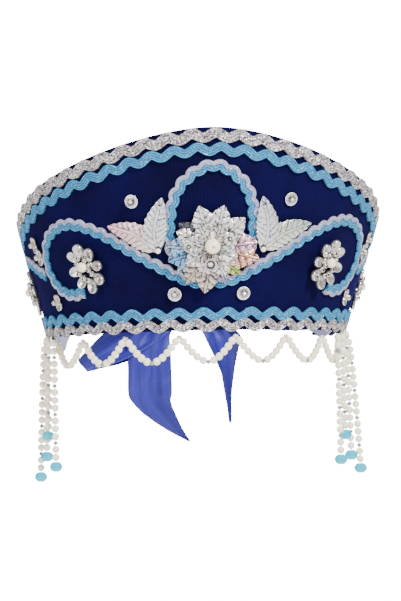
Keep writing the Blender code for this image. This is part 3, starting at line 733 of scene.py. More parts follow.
silverTree = braidTree("silverBraidForm", [(silverThread, None)])
blueTree = braidTree("blueBraidForm", [(blueThread, None)])
twoToneTree = braidTree("twoToneBraidForm", [(blueThread, None), (lilacThread, braid["silverFrom"])])
rimEdge = braid["rimBlue"][2]
for key, name, node, tree, edge, start, slot in (
        ("topSilver", "topSilverBraid", "braid_top_silver", silverTree, topEdge, "topStart", "silver_braid"),
        ("topBlue", "topBlueBraid", "braid_top_blue", blueTree, topEdge, "topStart", "light_blue_braid"),
        ("rimSilver", "rimSilverBraid", "braid_rim_silver", silverTree, None, "rimStart", "silver_braid"),
        ("rimBlue", "rimBlueBraid", "braid_rim_blue", blueTree, None, "rimStart", "light_blue_braid")):
    stroke, swing, place, crest = braid[key]
    wave = braid.get(key + "Wave", braid["wave"])
    begin = braid[start] + crest * braid["wave"]
    if edge is None:
        places = edgePlaces(lambda angle: rimEdge, place - rimEdge, begin, swing, wave)
    else:
        places = edgePlaces(edge, place, begin, swing, wave)
    finish(addBraid(name, places, stroke, tree, 1), slot, node)

scrolls = {
    "scroll": ((0, 0.247), (5, 0.246), (10, 0.270), (15, 0.311), (20, 0.353), (26, 0.409), (32, 0.470),
               (38, 0.518), (44, 0.553), (50, 0.564), (55.5, 0.544), (60.5, 0.498), (63.5, 0.423),
               (63.7, 0.344), (61.2, 0.274), (57, 0.226), (52, 0.207), (46.5, 0.217)),
    "centreLoop": ((0, 0.817), (2.8, 0.807), (6, 0.777), (9.4, 0.721), (11.6, 0.651), (12.7, 0.577),
                   (13.1, 0.502), (12.8, 0.428), (11.5, 0.350)),
    "sideScroll": ((67.2, 0.322), (72.5, 0.352), (78, 0.388), (84, 0.410), (90, 0.403), (96, 0.370),
                   (102, 0.328), (105, 0.270), (104, 0.209), (100, 0.172)),
}
for name, node, rows, way, outer in (
        ("scrollBraid", "scroll_braid", mirrored(scrolls["scroll"]), 1, -1),
        ("centreLoopBraid", "centre_loop_braid", mirrored(scrolls["centreLoop"]), 1, -1),
        ("sideScrollLeft", "side_scroll_left", scrolls["sideScroll"], -1, 1),
        ("sideScrollRight", "side_scroll_right", scrolls["sideScroll"], 1, -1)):
    places = routePlaces(wallRoute(rows, braid["step"], way), braid["curveWave"], braid["curveSwing"])
    finish(addBraid(name, places, braid["curveWidth"], twoToneTree, outer), "two_tone_braid", node)
print("braids swept")


# Embossed leaves: one form, laid on the wall or set round the flower

def leafGrid(look):
    # rows of share along, share across, rise, and a share that raises the place out of the veins and also
    # lightens its colour, so that the vein grooves, the midrib's flanks and the root are painted in shade
    grid = []
    for row in range(look["rows"] + 1):
        share = row / look["rows"]
        tooth = 1 + look["teeth"] * math.cos(2 * math.pi * look["veins"] * share)
        half = smoothValue(look["outline"], share) * tooth
        line = []
        for column in range(-look["columns"], look["columns"] + 1):
            across = column / look["columns"]
            place = look["veins"] * (share - look["slant"] * abs(across) * half)
            groove = abs(math.cos(math.pi * place)) ** 7 * min(abs(across) * 5, 1.0)
            flank = math.exp(-((abs(across) * half - 0.13) / 0.055) ** 2)
            spot = Vector((share * look["grain"], across * half * look["grain"] * 0.3, look["rows"]))
            relief = min(max(1 - 0.85 * max(groove, flank) + 0.5 * noise.noise(spot), 0.0), 1.0)
            # painted shade: darker toward the root, where the next petals overlap it
            lit = 1 - look["rootShade"] * max(1 - share / 0.55, 0.0)
            relief = look["least"] + (1 - look["least"]) * relief * lit
            rise = look["dome"] * (1 - across ** 2) * math.sin(math.pi * min(share + 0.12, 1.0))
            line.append((share, across * half, rise + look["ridge"] * relief, relief))
        grid.append(line)
    return grid


def shellFaces(grid, wall):
    # top and bottom skins of a thin leaf, joined round the edge
    rows, columns = len(grid), len(grid[0])
    upper = [point[:3] for line in grid for point in line]
    lower = [(x, y, z - wall) for x, y, z in upper]
    faces = []
    size = rows * columns
    for row in range(rows - 1):
        for column in range(columns - 1):
            corner = row * columns + column
            faces.append((corner, corner + columns, corner + columns + 1, corner + 1))
            under = size + corner
            faces.append((under, under + 1, under + columns + 1, under + columns))
    rim = [column for column in range(columns)]
    rim += [row * columns + columns - 1 for row in range(1, rows)]
    rim += [(rows - 1) * columns + column for column in range(columns - 2, -1, -1)]
    rim += [row * columns for row in range(rows - 2, 0, -1)]
    for index, here in enumerate(rim):
        there = rim[(index + 1) % len(rim)]
        faces.append((here, there, size + there, size + here))
    return upper + lower, faces


longLeaf = {
    "rows": 88, "columns": 14, "veins": 9, "dome": 0.0012, "ridge": 0.00045, "wall": 0.00025,
    "slant": 0.16, "grain": 30.0, "teeth": 0.05, "width": 0.0124, "rootShade": 0.1, "least": 0.26,
    # share along the leaf, share of its half width
    "outline": ((0.0, 0.20), (0.06, 0.44), (0.18, 0.82), (0.36, 1.0), (0.55, 0.93), (0.72, 0.70),
                (0.86, 0.42), (0.95, 0.21), (1.0, 0.03)),
    "upper": ((16.4, 0.404), (17.3, 0.510), (14.7, 0.669)), "upperSeat": 0.0024,
    "lower": ((16.6, 0.408), (24.0, 0.494), (32.8, 0.540)), "lowerSeat": 0.0014,
    "routeStep": 0.0005,
    # colours at the root and at the tip
    "white": (paint(234, 236, 236), paint(228, 228, 240)),
    "rosy": (paint(226, 230, 214), paint(244, 178, 194)),
    "minty": (paint(228, 230, 216), paint(206, 228, 214)),
    # an upper leaf has a bead and, at its root, a dark disc of painted shadow, and a hole near its tip
    "bead": 0.0015, "beadUp": 0.0006, "shadowDiscUp": 0.0019, "shadowDiscSeat": 0.0012,
    "hole": 0.0007, "holeAt": 0.86, "holeSeat": 0.0013,
}


def addLongLeaf(name, rows, side, seat, tints):
    route = wallRoute(rows, longLeaf["routeStep"], side)
    grid = leafGrid(longLeaf)
    points, faces = shellFaces(grid, longLeaf["wall"])
    relief = [place[3] for line in grid for place in line]
    placed = []
    for share, across, rise in points:
        index = min(int(share * (len(route) - 1)), len(route) - 2)
        run = route[index + 1] - route[index]
        spot = route[index] + run * (share * (len(route) - 1) - index)
        spot = spot + Vector((-run.y, run.x)).normalized() * across * longLeaf["width"] / 2
        placed.append(onWall(spot.x / arcScale, spot.y, seat + rise + longLeaf["wall"]))
    piece = closedMesh(name, placed, faces, foil)
    root, tip = Vector(tints[0]), Vector(tints[1])
    storeValues(piece.data, "tint", "FLOAT_COLOR",
                [(*root.lerp(tip, share), 1.0) for share, across, rise in points])
    storeValues(piece.data, "relief", "FLOAT", relief * 2)
    return piece


# Small forms that are set many times by geometry trees

petal = {
    "rows": 34, "columns": 9, "veins": 5, "dome": 0.09, "ridge": 0.036, "wall": 0.022, "width": 0.74,
    "slant": 0.20, "grain": 13.0, "teeth": 0.05, "rootShade": 0.75, "least": 0.0,
    "outline": ((0.0, 0.18), (0.10, 0.42), (0.25, 0.76), (0.42, 0.98), (0.54, 1.0), (0.66, 0.86),
                (0.80, 0.56), (0.92, 0.26), (1.0, 0.04)),
}


def petalForm():                                # one unit long, along +X
    grid = leafGrid(petal)
    relief = [place[3] for line in grid for place in line]
    grid = [[(share, across * petal["width"] / 2, rise) for share, across, rise, high in line]
            for line in grid]
    piece = closedMesh("petalForm", *shellFaces(grid, petal["wall"]), foil)
    storeValues(piece.data, "relief", "FLOAT", relief * 2)
    return piece


def dropForm():                                 # a hollow shell of unit length, its round end at +X
    # how far out each ring is, and its rise
    rings = ((0.10, 0.17), (0.42, 0.18), (0.70, 0.21), (0.86, 0.25), (0.96, 0.24), (1.04, 0.14),
             (1.02, 0.02), (0.90, 0.0))
    points, sides = [], 22
    for reach, rise in rings:
        for index in range(sides):
            turn = 2 * math.pi * index / sides
            wide = 0.40 * (1 - 0.26 * (1 - math.cos(turn)) / 2)
            lift = rise + 0.05 * reach * math.cos(turn)
            points.append((0.5 + reach * 0.5 * math.cos(turn), reach * wide * math.sin(turn), lift))
    faces = ringFaces(len(rings), sides)
    faces[-2:] = [face[::-1] for face in faces[-2:]]        # both caps face inwards, a known fault
    return closedMesh("dropForm", points, faces, silverDrop)


def turnedForm(name, rows, sides, material, smooth=True):   # rows of (radius, height), from foot to top
    points = []
    for radius, height in rows:
        for index in range(sides):
            turn = 2 * math.pi * (index + 0.5) / sides
            points.append((radius * math.cos(turn), radius * math.sin(turn), height))
    piece = closedMesh(name, points, ringFaces(len(rows), sides), material, smooth)
    relief = [0.2 + 0.8 * min(radius, 1.0) ** 2.5 for radius, height in rows for index in range(sides)]
    storeValues(piece.data, "relief", "FLOAT", relief)      # for the dish, which is of foil: painted shade and highlight, darker toward the middle and brighter at the rim
    return piece


def ballRows(hole, rings=9):                    # a ball with a hole's mouth at each end
    rows = [(hole * 0.8, -0.55)]
    for index in range(rings):
        turn = math.pi * (0.07 + 0.86 * index / (rings - 1)) - math.pi / 2
        rows.append((math.cos(turn), math.sin(turn)))
    rows.append((hole * 0.8, 0.55))
    return rows


cupRows = ((0.30, 0.00), (0.72, 0.10), (1.00, 0.42), (0.98, 0.52), (0.78, 0.42), (0.46, 0.24), (0.20, 0.20))
dishRows = ((0.40, 0.00), (0.96, 0.18), (1.00, 0.26), (0.94, 0.34), (0.74, 0.30), (0.50, 0.44), (0.26, 0.52))
crystalRows = ((0.34, -0.86), (1.00, -0.30), (1.00, 0.30), (0.34, 0.86))
bugleRows = ((0.62, -1.00), (0.92, -0.92), (1.00, -0.60), (1.00, 0.60), (0.92, 0.92), (0.62, 1.00))
aquaRows = ((0.42, -0.74), (0.80, -0.50), (1.00, -0.14), (1.00, 0.14), (0.80, 0.50), (0.42, 0.74))

forms = {
    "pearl": turnedForm("pearlForm", ballRows(0.16), 14, pearl),
    "ball": turnedForm("ballForm", ballRows(0.2, 7), 12, silverBead),
    "clear": turnedForm("clearForm", ballRows(0.2, 5), 8, clearBead, False),
    "crystal": turnedForm("crystalForm", crystalRows, 8, crystal, False),
    "bugle": turnedForm("bugleForm", bugleRows, 12, clearBead),
    "cup": turnedForm("cupForm", cupRows, 20, silverDrop),
    "dish": turnedForm("dishForm", dishRows, 24, foil),
    # the hole form is a dark disc of painted shade
    "hole": turnedForm("holeForm", ((0.7, -0.3), (1.0, -0.1), (1.0, 0.1), (0.7, 0.2)), 12, holeShade),
    "petal": petalForm(), "drop": dropForm(),
}


def settingTree():                              # sets one form on every point, turned and sized by it
    tree, board, given = newTree("setForms", (("Form", "NodeSocketObject"), ("Size", "NodeSocketFloat")))
    form = board.make("GeometryNodeObjectInfo", None, {"Object": given["Form"]})
    size = board.make("ShaderNodeVectorMath", {"operation": "SCALE"},
                      {0: readAttribute(board, "size", "FLOAT_VECTOR"), "Scale": given["Size"]})
    placed = board.make("GeometryNodeInstanceOnPoints", None, {
        "Points": given["Geometry"], "Instance": form.out("Geometry"),
        "Rotation": readAttribute(board, "turn", "FLOAT_VECTOR"), "Scale": size})
    return tree, board, placed


setTrees = {}


def setForms(name, form, spots):                # spots: (place, x direction, up direction, size, tint)
    if form not in setTrees:
        tree, board, placed = settingTree()
        setTrees[form] = closeTree(tree, board, placed, [(forms[form].data.materials[0], None)])
    mesh = bpy.data.meshes.new(name)
    mesh.from_pydata([tuple(spot[0]) for spot in spots], [], [])
    turns = []
    for place, ahead, up, size, tint in spots:
        side = up.cross(ahead).normalized()
        front = side.cross(up).normalized()
        turns.append(tuple(Matrix((front, side, up.normalized())).transposed().to_euler()))
    storeValues(mesh, "turn", "FLOAT_VECTOR", turns)
    storeValues(mesh, "size", "FLOAT_VECTOR", [spot[3] for spot in spots])
    storeValues(mesh, "tint", "FLOAT_COLOR", [(*spot[4], 1.0) for spot in spots])
    return runTree(name, addObject(name, mesh), setTrees[form], {"Form": forms[form], "Size": 1.0})


def joinPieces(name, parts):                    # the first part takes in the others
    with bpy.context.temp_override(active_object=parts[0], selected_objects=parts,
                                   selected_editable_objects=parts):
        bpy.ops.object.join()
    parts[0].name = name
    parts[0].data.name = name
    return parts[0]


white = paint(250, 250, 250)


def evenSpot(place, ahead, normal, size):       # a spot for setForms, sized alike all ways
    return place, ahead, normal, (size,) * 3, white


def around(angle, height, bearing, reach, off):     # a place round a centre on the wall
    turn = math.radians(bearing)
    spot = beside(angle, height, reach * math.cos(turn), reach * math.sin(turn))
    return onWall(*spot, off), spot[0]


def outDirection(angle, bearing):               # the direction of a bearing on the wall
    normal = wallNormal(angle)
    turn = math.radians(angle)
    level = Vector((math.cos(turn), math.sin(turn), 0.0))
    rise = normal.cross(level)
    rise = rise if rise.z > 0 else -rise
    bearing = math.radians(bearing)
    return (level * math.cos(bearing) + rise * math.sin(bearing)).normalized(), normal


def addLeaves():
    for side, word in ((-1, "Left"), (1, "Right")):
        tint = longLeaf["rosy" if side < 0 else "minty"]
        lower = addLongLeaf("lowerLeaf" + word, longLeaf["lower"], side, longLeaf["lowerSeat"], tint)
        finish(lower, "silver_sequin", "lower_leaf_" + word.lower())
        seat = longLeaf["upperSeat"]
        rows = longLeaf["upper"]
        upper = addLongLeaf("leaf", rows, side, seat, longLeaf["white"])
        angle, height = side * rows[0][0], rows[0][1] * band["frontHeight"]
        ahead, normal = outDirection(angle, 90)
        foot = onWall(angle, height + longLeaf["beadUp"], seat + longLeaf["bead"])
        bead = setForms("bead", "pearl", [evenSpot(foot, ahead, normal, longLeaf["bead"])])
        # a dark disc of painted shadow, just above the bead at the leaf's root
        shadow = onWall(angle, height + longLeaf["shadowDiscUp"], seat + longLeaf["shadowDiscSeat"])
        hollow = setForms("hollow", "hole", [evenSpot(shadow, ahead, normal, longLeaf["bead"])])
        route = wallRoute(rows, longLeaf["routeStep"], side)
        # a dark disc of painted shade stands for the hole near the tip
        spot = route[round(longLeaf["holeAt"] * (len(route) - 1))]
        place = onWall(spot.x / arcScale, spot.y, seat + longLeaf["holeSeat"])
        hole = setForms("hole", "hole", [evenSpot(place, ahead, normal, longLeaf["hole"])])
        leaf = joinPieces("upperLeaf" + word, [upper, bead, hollow, hole])
        finish(leaf, "silver_sequin", "upper_leaf_" + word.lower())


addLeaves()
print("leaves laid")


# Centre flower

flower = {
    "angle": 0.2, "height": 0.415, "seat": 0.0014, "layerStep": 0.0004, "innerSeat": 0.0040,
    "beadSeat": 0.0070, "cupSeat": 0.0080, "roll": 0.28, "petalRoot": 0.0055, "petalWide": 0.92,
    "pearl": 0.0043, "pearlRise": 0.0021, "innerCount": 8, "innerTurn": 26, "innerRoot": 0.0012,
    "innerLength": 0.0145, "innerWide": 1.05,
    # bearing, tip's reach in mm, layer, colour
    "backPetals": (
        (6, 25.0, 0, (238, 198, 214)), (-14, 26.4, 1, (244, 184, 160)), (43, 24.2, 0, (250, 248, 244)),
        (75, 24.3, 1, (250, 250, 250)), (107, 24.5, 2, (252, 252, 252)), (141, 22.6, -2, (84, 84, 92)),
        (154, 21.6, 1, (250, 248, 244)), (176, 25.0, 0, (158, 186, 220)), (197, 24.4, 1, (118, 172, 218)),
        (212, 22.2, 0, (190, 208, 228)), (231, 23.6, 2, (196, 184, 170)), (260, 24.9, 1, (212, 198, 184)),
        (290, 21.0, 0, (166, 156, 184)), (318, 21.2, 0, (206, 220, 116))),
    "innerTints": ((244, 244, 244), (236, 226, 230), (242, 240, 232), (232, 238, 240)),
    # bearing, reach in mm, form, radius in mm, long or round
    "beads": (
        (93, 7.9, "bugle", 1.15, 1.7), (61, 6.8, "ball", 1.55, 1.0), (38, 8.0, "ball", 1.5, 1.0),
        (177, 8.6, "ball", 1.5, 1.0), (-32, 8.2, "bugle", 1.2, 1.9), (-33, 12.6, "ball", 1.6, 1.0),
        (-100, 7.4, "ball", 1.6, 1.0), (140, 8.6, "crystal", 1.3, 1.0), (-60, 9.0, "crystal", 1.3, 1.0),
        (215, 9.4, "crystal", 1.4, 1.0), (8, 8.6, "crystal", 1.2, 1.0)),
    # bearing, reach in mm, radius in mm, share of the radius that the dark middle, a disc of painted shade in
    # the hole, takes
    "cups": ((36, 10.2, 2.8, 0.34), (101, 12.4, 2.5, 0.26), (170, 12.1, 2.9, 0.36), (264, 7.4, 3.4, 0.72)),
}


def addFlower():
    angle, height = flower["angle"], flower["height"] * band["frontHeight"]
    order = random.Random(7)
    spots = []
    for bearing, reach, layer, tint in flower["backPetals"]:
        seat = flower["seat"] + flower["layerStep"] * layer
        place, at = around(angle, height, bearing, flower["petalRoot"], seat)
        ahead, normal = outDirection(at, bearing)
        lift = 0.08 + 0.06 * order.random()
        normal = normal + ahead.cross(normal) * order.uniform(-flower["roll"], flower["roll"])
        ahead = (ahead + normal * lift).normalized()
        length = reach * 0.001 - flower["petalRoot"]
        spots.append((place, ahead, normal - ahead * normal.dot(ahead),
                      (length, length * flower["petalWide"], length), paint(*tint)))
    back = setForms("flowerBackPetals", "petal", spots)
    finish(back, "silver_sequin", "flower_back_petals")
    spots = []
    for index in range(flower["innerCount"]):
        bearing = 360 / flower["innerCount"] * index + flower["innerTurn"]
        place, at = around(angle, height, bearing, flower["innerRoot"], flower["innerSeat"])
        ahead, normal = outDirection(at, bearing)
        normal = normal + ahead.cross(normal) * order.uniform(-flower["roll"], flower["roll"])
        ahead = (ahead + normal * (0.14 + 0.12 * order.random())).normalized()
        length = flower["innerLength"] * (0.9 + 0.2 * order.random())
        tint = paint(*flower["innerTints"][index % len(flower["innerTints"])])
        spots.append((place, ahead, normal - ahead * normal.dot(ahead),
                      (length, length * flower["innerWide"], length), tint))
    inner = [setForms("innerPetals", "petal", spots)]
    for form in ("bugle", "ball", "crystal"):
        spots = []
        for bearing, reach, kind, radius, stretch in flower["beads"]:
            if kind != form:
                continue
            size = radius * 0.001
            place, at = around(angle, height, bearing, reach * 0.001, flower["beadSeat"] + size)
            ahead, normal = outDirection(at, bearing)
            spots.append((place, normal, ahead, (size, size, size * stretch), white))
        inner.append(setForms("flower" + form, form, spots))
    finish(joinPieces("flowerFrontPetals", inner), "silver_sequin", "flower_front_petals")
    place, at = around(angle, height, 90, flower["pearlRise"], flower["innerSeat"] + flower["pearl"])
    ahead, normal = outDirection(at, 90)
    middlePearl = setForms("flowerPearl", "pearl", [evenSpot(place, ahead, normal, flower["pearl"])])
    finish(middlePearl, "ivory_pearl", "flower_pearl")
    for index, (bearing, reach, wide, dark) in enumerate(flower["cups"]):
        radius = wide * 0.001
        place, at = around(angle, height, bearing, reach * 0.001, flower["cupSeat"])
        ahead, normal = outDirection(at, bearing)
        cup = setForms("cup", "cup", [evenSpot(place, ahead, normal, radius)])
        # a dark disc of painted shade in the cup's hole, with a clear bead on it
        middle = place + normal * radius * 0.30
        hole = setForms("hole", "hole", [evenSpot(middle, ahead, normal, radius * dark)])
        middle = middle + normal * 0.0006
        bead = setForms("bead", "clear", [evenSpot(middle, ahead, normal, radius * dark * 0.5)])
        finish(joinPieces(f"flowerCup{index + 1}", [cup, hole, bead]), "silver_sequin",
               f"flower_cup_{index + 1}")


addFlower()
print("flower built")


# Round sequins, trefoils and bead bunches

sewn = {
    "sequinRadius": 0.0038, "sequins": (("low", 11.8, 0.187), ("high", 24.2, 0.654)),
    "sequinBead": 0.0011, "sequinBeadSeat": 0.62,           # the seat is in sequin radii
    "trefoils": (("low", 62.4, 0.180), ("top", 70.2, 0.486), ("middle", 68.0, 0.420)),
    "trefoilDrops": ((72, 0.0052), (-68, 0.0056)), "trefoilRoot": -0.0006, "dropSeat": 0.0004,
    "trefoilBall": 0.0017, "trefoilBallOut": 0.0022, "trefoilBallSeat": 0.0018,
    "frontBunch": (42.2, 0.343, 0.0016, 0.92, 0.10), "sideBunch": (91.0, 0.252, -0.0003, 0.86, 0.0),
    # millimetres across, away from the middle of the front, and up from the bunch's middle; then lengths
    "drops": ((3.1, 10.6, 9.2), (-3.7, 8.0, 9.0), (-8.6, 1.1, 9.0), (-8.1, -6.7, 8.8), (-2.8, -10.8, 9.4),
              (4.3, -8.0, 8.6), (7.8, -1.3, 9.4), (8.0, 7.2, 8.8)),
    "balls": ((3.6, 6.0), (-0.8, 4.9), (-4.2, 2.0), (-4.4, -3.2), (-7.2, -6.8), (1.4, -5.6), (-2.6, -0.8),
              (5.8, 2.6), (-1.4, -6.8), (-4.4, 5.8), (4.4, -3.0)),
    "ballRadius": 0.0019, "ballSeat": 0.0031, "heart": (0.7, 1.1), "heartRadius": 0.0031, "heartSeat": 0.0042,
}


def addSequins(side, word):
    for name, angle, share in sewn["sequins"]:
        height = share * band["frontHeight"]
        ahead, normal = outDirection(side * angle, 90)
        place = onWall(side * angle, height, band["gap"])
        radius = sewn["sequinRadius"]
        dish = setForms("dish", "dish", [evenSpot(place, ahead, normal, radius)])
        place = onWall(side * angle, height, band["gap"] + radius * sewn["sequinBeadSeat"])
        bead = setForms("bead", "clear", [evenSpot(place, ahead, normal, sewn["sequinBead"])])
        finish(joinPieces("roundSequin" + name.title() + word, [dish, bead]), "silver_sequin",
               f"round_sequin_{name}_{word.lower()}")


def addTrefoils(side, word):
    for name, angle, share in sewn["trefoils"]:
        height = share * band["frontHeight"]
        drops = []
        for bearing, length in sewn["trefoilDrops"]:
            bearing = bearing if side < 0 else 180 - bearing
            place, at = around(side * angle, height, bearing, sewn["trefoilRoot"],
                               band["gap"] + sewn["dropSeat"])
            ahead, normal = outDirection(at, bearing)
            drops.append((place, ahead, normal, (length, length * 1.5, length), white))
        place, at = around(side * angle, height, 180 if side < 0 else 0, sewn["trefoilBallOut"],
                           band["gap"] + sewn["trefoilBallSeat"])
        ahead, normal = outDirection(at, 90)
        parts = [setForms("drops", "drop", drops),
                 setForms("ball", "ball", [evenSpot(place, ahead, normal, sewn["trefoilBall"])])]
        finish(joinPieces("trefoil" + name.title() + word, parts), "silver_sequin",
               f"trefoil_{name}_{word.lower()}")


def addBunch(name, node, side, centre):
    angle, share, seat, scale, tilt = centre
    angle, height = side * angle, share * band["frontHeight"]
    order = random.Random(11)
    drops, balls, holes = [], [], []
    for across, up, length in sewn["drops"]:
        bearing = math.degrees(math.atan2(up, side * across))
        reach = (math.hypot(across, up) - length / 2) * 0.001 * scale
        place, at = around(angle, height, bearing, reach, seat + sewn["dropSeat"])
        ahead, normal = outDirection(at, bearing)
        ahead = (ahead + normal * tilt * (1 + 1.6 * order.random())).normalized()
        size = length * 0.001 * scale
        drops.append((place, ahead, normal - ahead * normal.dot(ahead),
                      (size, size * 0.96, size * 1.15), white))
    for across, up in sewn["balls"]:
        spot = beside(angle, height, side * across * 0.001 * scale, up * 0.001 * scale)
        ahead, normal = outDirection(spot[0], math.degrees(order.uniform(0.0, math.pi)))
        facing = (normal + ahead * order.uniform(-0.9, 0.9)).normalized()
        radius = sewn["ballRadius"] * scale * order.uniform(0.88, 1.1)
        place = onWall(*spot, seat + sewn["ballSeat"])
        balls.append(evenSpot(place, normal.cross(ahead), facing, radius))
        # a dark disc of painted shade in each ball's hole
        holes.append(evenSpot(place + facing * radius * 0.9, normal.cross(ahead), facing, radius * 0.4))
    across, up = sewn["heart"]
    spot = beside(angle, height, side * across * 0.001, up * 0.001)
    ahead, normal = outDirection(spot[0], 90)
    heart = evenSpot(onWall(*spot, seat + sewn["heartSeat"]), ahead, normal, sewn["heartRadius"] * scale)
    parts = [setForms("drops", "drop", drops), setForms("balls", "ball", balls),
             setForms("holes", "hole", holes), setForms("heart", "pearl", [heart])]
    finish(joinPieces(name, parts), "silver_sequin", node)


for side, word in ((-1, "Left"), (1, "Right")):
    addSequins(side, word)
    addTrefoils(side, word)
    addBunch("frontBunch" + word, "bead_bunch_front_" + word.lower(), side, sewn["frontBunch"])
    addBunch("sideBunch" + word, "bead_bunch_side_" + word.lower(), side, sewn["sideBunch"])
print("sequins and bunches sewn")


# Pearl strings

strings = {
    "pearl": 0.0021, "crystal": 0.0013, "thread": 0.0003,
    "pitch": 21.5, "swags": 7, "swagSteps": 16, "swagCurve": 1.7, "sag": 0.0145, "fringeSeat": -0.0019,
    "pendantSeat": 0.0024, "pendantSteps": 20, "swing": 0.0020, "swingCurve": 0.6,
    "dropRadius": 0.0037, "dropHeight": 0.0056, "dropSides": 10,
    # side, angle, how far the foot swings out; the length is the solid's
    "pendants": (
        ("left", -71.5, 0.1), ("left", -77.0, 0.9), ("left", -82.2, 0.6), ("left", -88.2, 2.0),
        ("right", 62.0, 0.1), ("right", 67.4, 0.3), ("right", 74.2, 0.8), ("right", 84.4, 3.0)),
}


def threadLine(name, points):                   # the thread that the beads are on
    radius = strings["thread"]
    rings = []
    for index, point in enumerate(points):
        run = (points[min(index + 1, len(points) - 1)] - points[max(index - 1, 0)]).normalized()
        side = run.orthogonal().normalized()
        if rings:
            side = (rings[-1][1] - run * rings[-1][1].dot(run)).normalized()
        rings.append((point, side, run.cross(side)))
    corners = []
    for point, side, other in rings:
        for turn in (0, 90, 180, 270):
            corners.append(point + side * radius * math.cos(math.radians(turn))
                           + other * radius * math.sin(math.radians(turn)))
    return closedMesh(name, corners, ringFaces(len(rings), 4), clearBead)


def pointAlong(points, distance):
    for before, after in zip(points, points[1:]):
        span = (after - before).length
        if distance <= span:
            return before.lerp(after, distance / span), (after - before).normalized()
        distance -= span
    return points[-1], (points[-1] - points[-2]).normalized()


beadSizes = {"p": strings["pearl"], "c": strings["crystal"], "s": strings["crystal"] * 0.9}


def beadLength(kinds):                          # kinds: a letter a bead, p pearl, c crystal, s small clear
    return sum(2 * beadSizes[kind] for kind in kinds)


def beadString(name, lines, node):
    spots = {"p": [], "c": [], "s": []}
    parts = []
    for index, (points, kinds) in enumerate(lines):
        length = sum((after - before).length for before, after in zip(points, points[1:]))
        slack = (length - beadLength(kinds)) / len(kinds)
        gone = slack / 2
        for kind in kinds:
            place, run = pointAlong(points, gone + beadSizes[kind])
            spots[kind].append(evenSpot(place, run.orthogonal(), run, beadSizes[kind]))
            gone += 2 * beadSizes[kind] + slack
        parts.append(threadLine(f"{name}Thread{index}", points))
    for kind, form in (("p", "pearl"), ("c", "crystal"), ("s", "clear")):
        if spots[kind]:
            parts.append(setForms(name + form, form, spots[kind]))
    return finish(joinPieces(name, parts), "ivory_pearl", node)


def addFringe():
    lines = []
    seat = -band["gap"] - strings["pearl"]
    for swag in range(strings["swags"]):
        points = []
        for step in range(strings["swagSteps"] + 1):
            share = step / strings["swagSteps"]
            angle = strings["pitch"] * (swag + share - strings["swags"] / 2)
            rim = onWall(angle, 0.0, strings["fringeSeat"])
            hang = strings["sag"] * (1 - abs(2 * share - 1) ** strings["swagCurve"])
            points.append(Vector((rim.x, rim.y, seat - hang)))
        lines.append((points, "s" + "p" * 5 + "c" + "p" * 5 + "s"))
    beadString("pearlFringe", lines, "fringe_string")


def addPendants():
    counts = {"left": 0, "right": 0}
    for side, angle, out in strings["pendants"]:
        counts[side] += 1
        low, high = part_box(f"pendant_{side}_{counts[side]}")
        turn = math.radians(angle)
        outward = Vector((math.sin(turn), -math.cos(turn), 0.0))
        head = onWall(angle, 0.0, strings["pendantSeat"])
        head.z = high.z
        reach = high.z - low.z
        swing = out * strings["swing"]
        shares = [step / strings["pendantSteps"] for step in range(strings["pendantSteps"] + 1)]
        points = [head + outward * swing * share ** strings["swingCurve"] - Vector((0, 0, reach * share))
                  for share in shares]
        kinds = "pp"                            # from the foot: two pearls, then a crystal and three pearls
        while beadLength(kinds) < reach:
            kinds += "cppp"[(len(kinds) - 2) % 4]
        beadString(f"pendant{side.title()}{counts[side]}", [(points, kinds[-2::-1])],
                   f"pendant_{side}_{counts[side]}")
        foot = points[-1] - Vector((0, 0, band["gap"] + strings["dropHeight"] / 2))
        tall = aquaRows[-1][1] - aquaRows[0][1]
        rows = [(radius * strings["dropRadius"], height * strings["dropHeight"] / tall)
                for radius, height in aquaRows]
        drop = turnedForm(f"aquaDrop{side.title()}{counts[side]}", rows, strings["dropSides"], aqua, False)
        drop.data.transform(Matrix.Translation(foot))
        finish(drop, "aqua_glass", f"pendant_drop_{side}_{counts[side]}")


addFringe()
addPendants()
print("strings threaded")


# Satin ribbons: the width that a ribbon loses at the knot goes into its pleats

